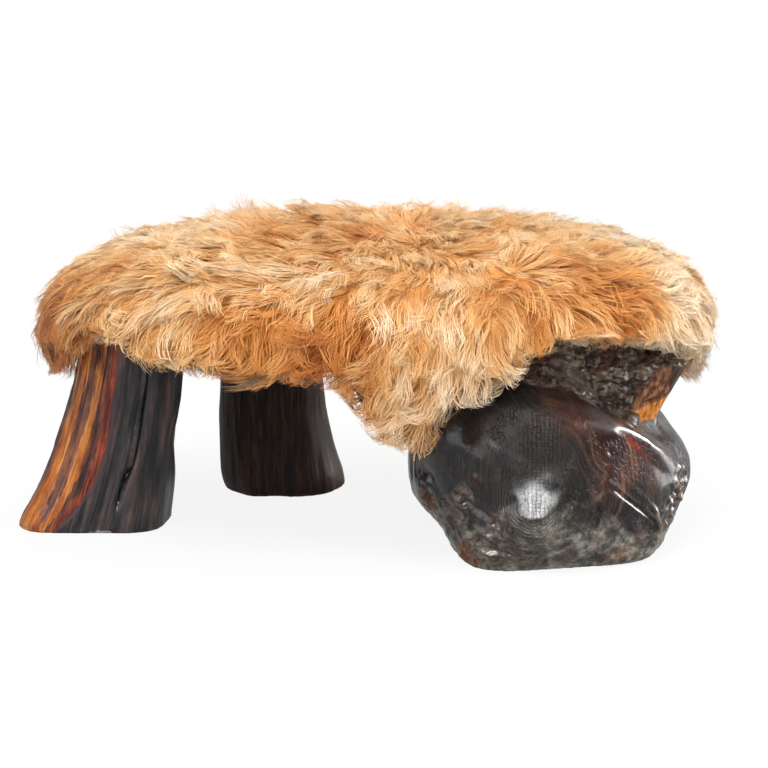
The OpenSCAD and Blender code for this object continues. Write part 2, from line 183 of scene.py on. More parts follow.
def finishMesh(bm, name):
    mesh = bpy.data.meshes.new(name)
    bm.to_mesh(mesh)
    bm.free()
    piece = bpy.data.objects.new(name, mesh)
    collection.objects.link(piece)
    return piece


def readPoints(mesh):
    points = np.empty(len(mesh.vertices) * 3, np.float32)
    mesh.vertices.foreach_get("co", points)
    return points.reshape(-1, 3).astype(float)


def writePoints(mesh, points):
    mesh.vertices.foreach_set("co", points.astype(np.float32).ravel())
    mesh.update()


def readNormals(mesh):
    normals = np.empty(len(mesh.vertices) * 3, np.float32)
    mesh.vertex_normals.foreach_get("vector", normals)
    return normals.reshape(-1, 3).astype(float)


def setAttribute(mesh, name, values):
    kind = "FLOAT" if values.ndim == 1 else "FLOAT_VECTOR"
    field = "value" if values.ndim == 1 else "vector"
    attribute = mesh.attributes.new(name, kind, "POINT")
    attribute.data.foreach_set(field, values.astype(np.float32).ravel())


def shadeSmooth(mesh):
    mesh.polygons.foreach_set("use_smooth", [True] * len(mesh.polygons))


def step(value):
    u = np.clip(value, 0, 1)
    return u * u * (3 - 2 * u)


def hump(distance, width):
    # a soft hill, 1 at distance 0
    return np.exp(-(distance / width) ** 2)


def turnTo(angle):
    # the same direction, between -180 and 180 degrees
    return angle - 360 * np.round(angle / 360)


def distanceTo(points, place, stretch=(1, 1, 1)):
    return np.linalg.norm((points - np.array(place)) * stretch, axis=1)


def spots(points, places, stretch=(1, 1, 1)):
    # 1 at each place of a list of places and half widths, fading out round it
    return np.max([hump(distanceTo(points, place, stretch), width) for place, width in places], 0)


def softNoise(points, size, seed):
    # smooth noise between -1 and 1, whose lumps are about size across
    p = points / size + seed * 7.31
    cell = np.floor(p).astype(np.int64)
    f = p - cell
    f = f * f * (3 - 2 * f)
    total = np.zeros(len(points))
    for corner in range(8):
        ends = (corner & 1, corner >> 1 & 1, corner >> 2)
        x, y, z = (cell + ends).T
        key = x * 73856093 ^ y * 19349663 ^ z * 83492791
        key = (key ^ key >> 13) * 1274126177 & 0xFFFFFFF
        key = (key ^ key >> 11) * 668265263 & 0xFFFFFFF
        value = key / 0x7FFFFFF - 1.0
        total += value * np.prod(np.where(ends, f, 1 - f), axis=1)
    return total


def relief(points, waves):
    # noises added up: height, size of the lumps and seed of each
    return sum(height * softNoise(points, size, seed) for height, size, seed in waves)


def pathDistance(points, path):
    # distance to a line through the path's points, and how far along it the nearest place is
    best = np.full(len(points), 1e9)
    along = np.zeros(len(points))
    spans = len(path) - 1
    for k in range(spans):
        a, b = np.array(path[k]), np.array(path[k + 1])
        t = np.clip(((points - a) @ (b - a)) / ((b - a) @ (b - a)), 0, 1)
        distance = np.linalg.norm(points - a - t[:, None] * (b - a), axis=1)
        nearer = distance < best
        best[nearer] = distance[nearer]
        along[nearer] = (k + t[nearer]) / spans
    return best, along


def evenCopy(nodeName, pieceName, voxel, smoothing, crispFoot=0.0):
    # an even mesh over a CAD node's shape, to be carved; it is smoothed, least of all below crispFoot
    bm = bmesh.new()
    bm.from_mesh(nodes[nodeName].data)
    bmesh.ops.remove_doubles(bm, verts=bm.verts, dist=1e-5)
    piece = finishMesh(bm, pieceName)
    remesh = piece.modifiers.new("even", "REMESH")
    remesh.mode = "VOXEL"
    remesh.voxel_size = voxel
    graph = bpy.context.evaluated_depsgraph_get()
    bm = bmesh.new()
    bm.from_object(piece, graph)
    piece.modifiers.remove(remesh)
    for k in range(smoothing):
        verts = [v for v in bm.verts if k < 2 or v.co.z > crispFoot]
        bmesh.ops.smooth_vert(bm, verts=verts, factor=0.5, use_axis_x=True, use_axis_y=True, use_axis_z=True)
    bm.to_mesh(piece.data)
    bm.free()
    shadeSmooth(piece.data)
    return piece


def soften(mesh, chosen, rounds):
    bm = bmesh.new()
    bm.from_mesh(mesh)
    bm.verts.ensure_lookup_table()
    verts = [bm.verts[i] for i in np.flatnonzero(chosen)]
    for _ in range(rounds):
        bmesh.ops.smooth_vert(bm, verts=verts, factor=0.5, use_axis_x=True, use_axis_y=True, use_axis_z=True)
    bm.to_mesh(mesh)
    bm.free()


def standFlat(points, sole=0.0015):
    # the foot's face lies flat on the floor
    points[points[:, 2] < sole, 2] = 0.0


# Node groups that several woods and the fleece share

def newGroup(name, inputs, outputs):
    group = bpy.data.node_groups.new(name, "ShaderNodeTree")
    for label, kind, value in inputs:
        socket = group.interface.new_socket(label, in_out="INPUT", socket_type="NodeSocket" + kind)
        if value is not None:
            socket.default_value = value
    for label, kind in outputs:
        group.interface.new_socket(label, in_out="OUTPUT", socket_type="NodeSocket" + kind)
    return group, addNode(group, "NodeGroupInput"), addNode(group, "NodeGroupOutput")


def useGroup(tree, group, values):
    return addNode(tree, "ShaderNodeGroup", values, node_tree=group)


def mathOn(tree, operation, *values):
    return addNode(tree, "ShaderNodeMath", dict(enumerate(values)), operation=operation).outputs[0]


def times(tree, *values):
    return reduce(lambda total, value: mathOn(tree, "MULTIPLY", total, value), values)


def plus(tree, *values):
    return reduce(lambda total, value: mathOn(tree, "ADD", total, value), values)


def larger(tree, *values):
    return reduce(lambda total, value: mathOn(tree, "MAXIMUM", total, value), values)


def blend(tree, first, second, share):
    # two values added up, with this share of the first
    return plus(tree, times(tree, first, share), times(tree, second, 1 - share))


def partsOf(tree, vector):
    return addNode(tree, "ShaderNodeSeparateXYZ", {0: vector}).outputs


def stretched(tree, vector, scale):
    return addNode(tree, "ShaderNodeVectorMath", {0: vector, 1: scale}, operation="MULTIPLY").outputs[0]


def objectPlace(tree):
    return addNode(tree, "ShaderNodeTexCoord").outputs["Object"]


def mixValues(tree, share, first, second):
    return addNode(tree, "ShaderNodeMix", {0: share, 2: first, 3: second}).outputs[0]


def rampOn(tree, factor, stops):
    ramp = addNode(tree, "ShaderNodeValToRGB", {0: factor})
    elements = ramp.color_ramp.elements
    while len(elements) < len(stops):
        elements.new(0.5)
    for element, (place, colour) in zip(elements, stops):
        element.position = place
        element.color = (*colour, 1)
    return ramp.outputs[0]


def asColour(value):
    return value if isinstance(value, bpy.types.NodeSocket) else (*value, 1)


def mixColours(tree, factor, first, second):
    values = {0: factor, 6: asColour(first), 7: asColour(second)}
    return addNode(tree, "ShaderNodeMix", values, data_type="RGBA").outputs[2]


def noiseOn(tree, vector, scale, detail=4, roughness=0.55, distortion=0.0):
    values = {"Vector": vector, "Scale": scale, "Detail": detail, "Roughness": roughness,
              "Distortion": distortion}
    return addNode(tree, "ShaderNodeTexNoise", values).outputs[0]


def rangeOn(tree, value, low, high, toLow=0.0, toHigh=1.0):
    return addNode(tree, "ShaderNodeMapRange", {0: value, 1: low, 2: high, 3: toLow, 4: toHigh}).outputs[0]


def cellEdges(tree, vector, scale):
    # distance to the nearest edge between irregular cells
    values = {"Vector": vector, "Scale": scale}
    return addNode(tree, "ShaderNodeTexVoronoi", values, feature="DISTANCE_TO_EDGE").outputs["Distance"]


def makeStreaks():
    # streaks that run along the third axis of the vector, as wood fibres do
    inputs = [("Vector", "Vector", None), ("Across", "Float", 120.0), ("Along", "Float", 5.0),
              ("Warp", "Float", 0.3)]
    outputs = [("Broad", "Float"), ("Fine", "Float"), ("Fibre", "Float")]
    group, given, out = newGroup("woodStreaks", inputs, outputs)
    across, along = given.outputs["Across"], given.outputs["Along"]
    scale = addNode(group, "ShaderNodeCombineXYZ", {0: across, 1: across, 2: along}).outputs[0]
    grain = stretched(group, given.outputs["Vector"], scale)
    group.links.new(noiseOn(group, grain, 0.35, 5, 0.6, given.outputs["Warp"]), out.inputs["Broad"])
    group.links.new(noiseOn(group, grain, 1.6, 6, 0.65), out.inputs["Fine"])
    group.links.new(noiseOn(group, grain, 6.0, 4, 0.7), out.inputs["Fibre"])
    return group


def makeChecks():
    # hair cracks between cells, in patches
    inputs = [("Vector", "Vector", None), ("Scale", "Float", 60.0), ("Width", "Float", 0.04)]
    group, given, out = newGroup("hairChecks", inputs, [("Crack", "Float")])
    vector = given.outputs["Vector"]
    edges = cellEdges(group, vector, given.outputs["Scale"])
    thin = rangeOn(group, edges, 0.0, given.outputs["Width"], 1.0, 0.0)
    crack = times(group, thin, rangeOn(group, noiseOn(group, vector, 30.0, 3), 0.42, 0.6))
    group.links.new(crack, out.inputs["Crack"])
    return group


def makeCrust():
    # broken plates of old bark, lying along the first axis of the vector, with pale flecks on them, partly
    # grit and partly painted glints
    inputs = [("Vector", "Vector", None), ("Scale", "Float", 160.0)]
    group, given, out = newGroup("brokenCrust", inputs, [("Height", "Float"), ("Specks", "Float")])
    vector = given.outputs["Vector"]
    wander = noiseOn(group, vector, 70.0, 4, 0.6).node.outputs["Color"]
    offset = stretched(group, wander, (0.022, 0.022, 0.022))
    moved = addNode(group, "ShaderNodeVectorMath", {0: vector, 1: offset}, operation="ADD").outputs[0]
    flat = stretched(group, moved, (0.55, 1.0, 1.25))
    lumps = noiseOn(group, flat, 110.0, 8, 0.75)
    plates = rangeOn(group, cellEdges(group, flat, given.outputs["Scale"]), 0.0, 0.22)
    chunks = noiseOn(group, flat, 38.0, 3, 0.5)
    height = plus(group, times(group, lumps, 0.55), times(group, plates, 0.12), times(group, chunks, 0.38))
    gritAndGlints = rangeOn(group, noiseOn(group, vector, 420.0, 4, 0.7), 0.60, 0.72)
    group.links.new(height, out.inputs["Height"])
    group.links.new(gritAndGlints, out.inputs["Specks"])
    return group


def makePalette():
    # colour of a fleece hair: tone runs from cream to rust, along from root to tip; the darker roots are
    # partly the wool's own colour and partly painted shade deep in the pile
    inputs = [("Tone", "Float", 0.4), ("Along", "Float", 0.5)]
    group, given, out = newGroup("fleecePalette", inputs, [("Color", "Color")])
    root = rampOn(group, given.outputs["Tone"], fleece["rootColours"])
    tip = rampOn(group, given.outputs["Tone"], fleece["tipColours"])
    along = rangeOn(group, given.outputs["Along"], 0.12, 0.85)
    group.links.new(mixColours(group, along, root, tip), out.inputs["Color"])
    return group


def newMaterial(name, **shader):
    material = bpy.data.materials.new(name)
    material.use_nodes = True
    tree = material.node_tree
    principled = tree.nodes["Principled BSDF"]
    for key, value in shader.items():
        principled.inputs[key.replace("_", " ")].default_value = value
    return material, tree, principled


def attributeOn(tree, name, output="Fac"):
    node = addNode(tree, "ShaderNodeAttribute", attribute_name=name, attribute_type="GEOMETRY")
    return node.outputs[output]


def bumpOn(tree, height, strength, distance, under=None):
    values = {"Height": height, "Strength": strength, "Distance": distance}
    if under is not None:
        values["Normal"] = under
    return addNode(tree, "ShaderNodeBump", values).outputs[0]


def finishLook(tree, shader, colour, normal, roughness=None):
    tree.links.new(colour, shader.inputs["Base Color"])
    tree.links.new(normal, shader.inputs["Normal"])
    if roughness is not None:
        tree.links.new(roughness, shader.inputs["Roughness"])


def streaksOn(tree, vector, across, along, warp):
    values = {"Vector": vector, "Across": across, "Along": along, "Warp": warp}
    return useGroup(tree, shared["streaks"], values).outputs


def clearOfEnds(height, foot, top):
    # carving fades out at a leg's foot and under the plank
    return step(height / foot) * step((top - height) / 0.004)


# What both posts share

posts = {
    "grainRadius": 0.07,  # the grain is laid round a post as on a cylinder of this radius
    "smoothing": 10,  # rounds
    "top": 0.285,  # height where the carving ends, just under the plank
    "shoulder": 0.288,
}


def roundPost(points, middle):
    # direction round the post in degrees, distance from its middle, and the post's grain
    away = points[:, :2] - middle
    around = np.arctan2(away[:, 1], away[:, 0])
    reach = posts["grainRadius"]
    grain = np.stack([np.cos(around) * reach, np.sin(around) * reach, points[:, 2]], 1)
    return np.degrees(around), np.linalg.norm(away, axis=1), grain


def fibreRelief(grain, waves):
    # noises added up: height, size of the lumps, seed, and a share that draws them out along the post
    return sum(height * softNoise(grain * (1, 1, share), size, seed) for height, size, seed, share in waves)


# Left post: a split log, orange sapwood to the left, dark heartwood to the right

leftPost = {
    "voxel": 0.0021,
    "top": (-0.303, -0.008),
    "foot": (-0.359, 0.012),
    "flare": 1.6,
    # the colour bands: height in m, direction and half width in degrees, from the top down
    "stripeOne": [(0.30, -143, 12.5), (0.20, -144.5, 10), (0.15, -145, 9), (0.10, -148, 8),
                  (0.04, -146, 9.5), (0.0, -144, 12)],
    "stripeTwo": [(0.30, -116, 3), (0.20, -119, 4), (0.15, -118.5, 4.5), (0.10, -120, 5),
                  (0.04, -126, 3.5), (0.0, -133, 3)],
    "darkFrom": [(0.30, -101), (0.20, -102), (0.15, -100), (0.10, -99), (0.06, -104), (0.03, -114),
                 (0.0, -124)],
    "darkBack": (100, 60),  # direction and half width of the back, which is dark too
    "crack": [(0.30, -66), (0.18, -67), (0.12, -66.5), (0.09, -68.5), (0.07, -72), (0.03, -73), (0.015, -74)],
    "crackDepths": [(0.007, 0.0016), (0.0015, 0.006)],  # depth and half width of the crack, and of its hollow
    "proud": 0.0016,  # how far the orange stripes stand out
    # reliefs: of the bands' edges, of torn bark, of the whole post and of its dark side
    "ragged": [(0.0022, 0.006, 3, 0.25), (0.0012, 0.003, 4, 0.4)],
    "torn": [(0.0013, 0.0035, 6, 0.22)],
    "rippled": [(0.0010, 0.008, 7, 0.12)],
    "split": [(0.0012, 0.010, 8, 0.07), (0.0006, 0.004, 9, 0.1)],
    "marks": [  # cuts and bruises near the foot: place, half sizes, depth
        ((-0.352, -0.086, 0.018), (0.004, 0.02, 0.012), 0.006),
        ((-0.361, -0.083, 0.027), (0.003, 0.02, 0.008), 0.004),
        ((-0.329, -0.088, 0.020), (0.005, 0.02, 0.007), 0.003),
        ((-0.300, -0.080, 0.024), (0.003, 0.02, 0.014), 0.003),
        ((-0.276, -0.070, 0.068), (0.003, 0.02, 0.016), 0.003),
        ((-0.238, -0.020, 0.112), (0.02, 0.03, 0.018), 0.003),
    ],
    "orange": [(0.30, (0.14, 0.034, 0.010)), (0.45, (0.38, 0.100, 0.016)),
               (0.62, (0.55, 0.18, 0.030)), (0.8, (0.70, 0.30, 0.070))],
    "bark": [(0.30, (0.014, 0.005, 0.006)), (0.5, (0.084, 0.026, 0.020)),
             (0.66, (0.20, 0.066, 0.034)), (0.85, (0.34, 0.13, 0.055))],
    "rust": [(0.3, (0.08, 0.010, 0.006)), (0.55, (0.24, 0.032, 0.010)), (0.8, (0.56, 0.11, 0.020))],
    "dark": [(0.28, (0.009, 0.008, 0.0085)), (0.5, (0.034, 0.031, 0.033)),
             (0.66, (0.060, 0.042, 0.043)), (0.85, (0.13, 0.075, 0.070))],
    "flameColour": (0.62, 0.085, 0.012),
    "seamColour": (0.13, 0.075, 0.080),
    "fibreGap": (0.010, 0.006, 0.005),
    "crackColour": (0.004, 0.003, 0.003),
}


def lineAt(line, height, column):
    # value of a band's edge at each height
    heights = [stop[0] for stop in line][::-1]
    values = [stop[column] for stop in line][::-1]
    return np.interp(height, heights, values)


def makeLeftPost():
    piece = evenCopy("left_leg", "leftPost", leftPost["voxel"], posts["smoothing"], 0.010)
    mesh = piece.data
    points, normals = readPoints(mesh), readNormals(mesh)
    height = points[:, 2]
    lean = (1 - np.clip(height / posts["shoulder"], 0, 1)) ** leftPost["flare"]
    top, foot = np.array(leftPost["top"]), np.array(leftPost["foot"])
    angle, radius, grain = roundPost(points, top + (foot - top) * lean[:, None])
    wander = fibreRelief(grain, leftPost["ragged"])

    def offset(line):
        # distance round the post from a line, in metres
        return np.radians(turnTo(angle - lineAt(line, height, 1))) * radius

    def inside(stripe):
        # how far inside its edges a stripe has this point, in metres
        return np.radians(lineAt(stripe, height, 2)) * radius - np.abs(offset(stripe) + wander)
    one, two = inside(leftPost["stripeOne"]), inside(leftPost["stripeTwo"])
    orange = np.maximum(one, two)
    back, width = leftPost["darkBack"]
    dark = np.where(np.abs(turnTo(angle - back)) < width, 0.01, offset(leftPost["darkFrom"]) + wander)
    crack = offset(leftPost["crack"]) + 0.0012 * softNoise(grain * (0, 0, 1), 0.012, 5)
    # stripes stand proud, the bark between them is torn, and the dark side is split along its fibres
    side = clearOfEnds(height, 0.00864, posts["top"]) * (np.abs(normals[:, 2]) < 0.8)
    move = leftPost["proud"] * step((orange + 0.001) / 0.004)
    torn = step((0.002 - orange) / 0.003) * step((0.001 - dark) / 0.004)
    move += torn * fibreRelief(grain, leftPost["torn"]) + fibreRelief(grain, leftPost["rippled"])
    move += step(dark / 0.006) * fibreRelief(grain, leftPost["split"])
    crackOpen = step((height - 0.02) / 0.03)
    for depth, width in leftPost["crackDepths"]:
        move -= crackOpen * depth * hump(crack, width)
    for place, size, depth in leftPost["marks"]:
        move -= depth * hump(distanceTo(points, place, 1 / np.array(size)), 1.0)
    points += normals * (move * side)[:, None]
    standFlat(points)
    writePoints(mesh, points)
    setAttribute(mesh, "grain", grain)
    setAttribute(mesh, "bands", np.stack([one, two, dark], 1))
    setAttribute(mesh, "crackLine", crack)
    mesh.materials.append(leftPostMaterial())
    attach(piece, "root")
    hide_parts("left_leg")
    return piece


def leftPostMaterial():
    material, tree, shader = newMaterial("leftPostWood", Roughness=0.42, Specular_IOR_Level=0.30,
                                         Coat_Weight=0.45, Coat_Roughness=0.14)
    grain = attributeOn(tree, "grain", "Vector")
    inOne, inTwo, inDark = partsOf(tree, attributeOn(tree, "bands", "Vector"))
    broad, fine, fibre = streaksOn(tree, grain, 300.0, 11.0, 0.6)
    ragged = times(tree, mathOn(tree, "SUBTRACT", fine, 0.5), 0.010)
    mixed = blend(tree, broad, fine, 0.5)
    # clouds along the post make each band run from dark to pale
    cloud = noiseOn(tree, stretched(tree, grain, (60, 60, 16)), 1.0, 4, 0.6)
    shade = rangeOn(tree, blend(tree, mixed, cloud, 0.62), 0.36, 0.64)
    orange, bark, rust, dark = (rampOn(tree, shade, leftPost[k]) for k in ("orange", "bark", "rust", "dark"))

    def edge(value, low, high):
        return rangeOn(tree, plus(tree, value, ragged), low, high)
    # rust lies just before the dark half, then the two orange stripes over the bark
    nearDark = edge(times(tree, inDark, -1.0), 0.013, 0.004)
    level = partsOf(tree, grain)["Z"]
    flame = times(tree, rangeOn(tree, level, 0.03, 0.07), rangeOn(tree, level, 0.17, 0.11))
    flame = times(tree, flame, rangeOn(tree, fine, 0.42, 0.60))
    rust = mixColours(tree, flame, rust, leftPost["flameColour"])
    colour = mixColours(tree, nearDark, bark, rust)
    for band, reach, wood in ((inOne, 0.0009, orange), (inTwo, 0.0009, orange), (inDark, 0.0012, dark)):
        colour = mixColours(tree, edge(band, -0.0004, reach), colour, wood)
    # a thin lilac seam where the two halves meet
    seam = edge(mathOn(tree, "ABSOLUTE", mathOn(tree, "SUBTRACT", inDark, 0.003)), 0.0045, 0.0005)
    colour = mixColours(tree, times(tree, seam, 0.55), colour, leftPost["seamColour"])
    # thin dark cracks along the fibres
    colour = mixColours(tree, rangeOn(tree, fine, 0.40, 0.34, 0.0, 0.75), colour, leftPost["fibreGap"])
    opening = rangeOn(tree, mathOn(tree, "ABSOLUTE", attributeOn(tree, "crackLine")), 0.0022, 0.0010)
    colour = mixColours(tree, opening, colour, leftPost["crackColour"])
    bump = bumpOn(tree, fibre, 0.35, 0.0006, bumpOn(tree, mixed, 0.9, 0.0030))
    finishLook(tree, shader, colour, bump, rangeOn(tree, fine, 0.35, 0.65, 0.30, 0.60))
    return material


# Rear post: a short log, dark all over

rearPost = {
    "voxel": 0.0026,
    "middle": (-0.127, 0.145),
    "rippled": [(0.0012, 0.012, 21, 0.12), (0.0007, 0.005, 22, 0.15)],
    "colours": [(0.25, (0.0040, 0.0018, 0.0013)), (0.52, (0.017, 0.0070, 0.0040)),
                (0.80, (0.050, 0.022, 0.013))],
    "paleColours": [(0.25, (0.016, 0.0075, 0.005)), (0.55, (0.075, 0.040, 0.023)),
                    (0.82, (0.18, 0.105, 0.064))],
}


def makeRearPost():
    piece = evenCopy("rear_leg", "rearPost", rearPost["voxel"], posts["smoothing"], 0.004)
    mesh = piece.data
    points, normals = readPoints(mesh), readNormals(mesh)
    _, _, grain = roundPost(points, np.array(rearPost["middle"]))
    side = clearOfEnds(points[:, 2], 0.006, posts["top"]) * (np.abs(normals[:, 2]) < 0.9)
    points += normals * (fibreRelief(grain, rearPost["rippled"]) * side)[:, None]
    standFlat(points)
    writePoints(mesh, points)
    setAttribute(mesh, "grain", grain)
    # the upper right side is painted browner and paler
    pale = step((points[:, 2] - 0.09) / 0.12) * step((points[:, 0] + 0.12) / 0.06)
    setAttribute(mesh, "paleSide", pale)
    mesh.materials.append(rearPostMaterial())
    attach(piece, "root")
    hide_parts("rear_leg")
    return piece


def rearPostMaterial():
    material, tree, shader = newMaterial("rearPostWood", Roughness=0.45, Specular_IOR_Level=0.12,
                                         Coat_Weight=0.15, Coat_Roughness=0.25)
    grain = attributeOn(tree, "grain", "Vector")
    broad, fine, fibre = streaksOn(tree, grain, 330.0, 22.0, 0.6)
    mixed = rangeOn(tree, blend(tree, broad, fine, 0.5), 0.36, 0.64)
    dark, pale = (rampOn(tree, mixed, rearPost[k]) for k in ("colours", "paleColours"))
    colour = mixColours(tree, attributeOn(tree, "paleSide"), dark, pale)
    bump = bumpOn(tree, fibre, 0.3, 0.0005, bumpOn(tree, mixed, 0.8, 0.0012))
    finishLook(tree, shader, colour, bump, rangeOn(tree, fine, 0.3, 0.75, 0.38, 0.6))
    return material


# Root burl: polished dome, bark neck, sawn stub

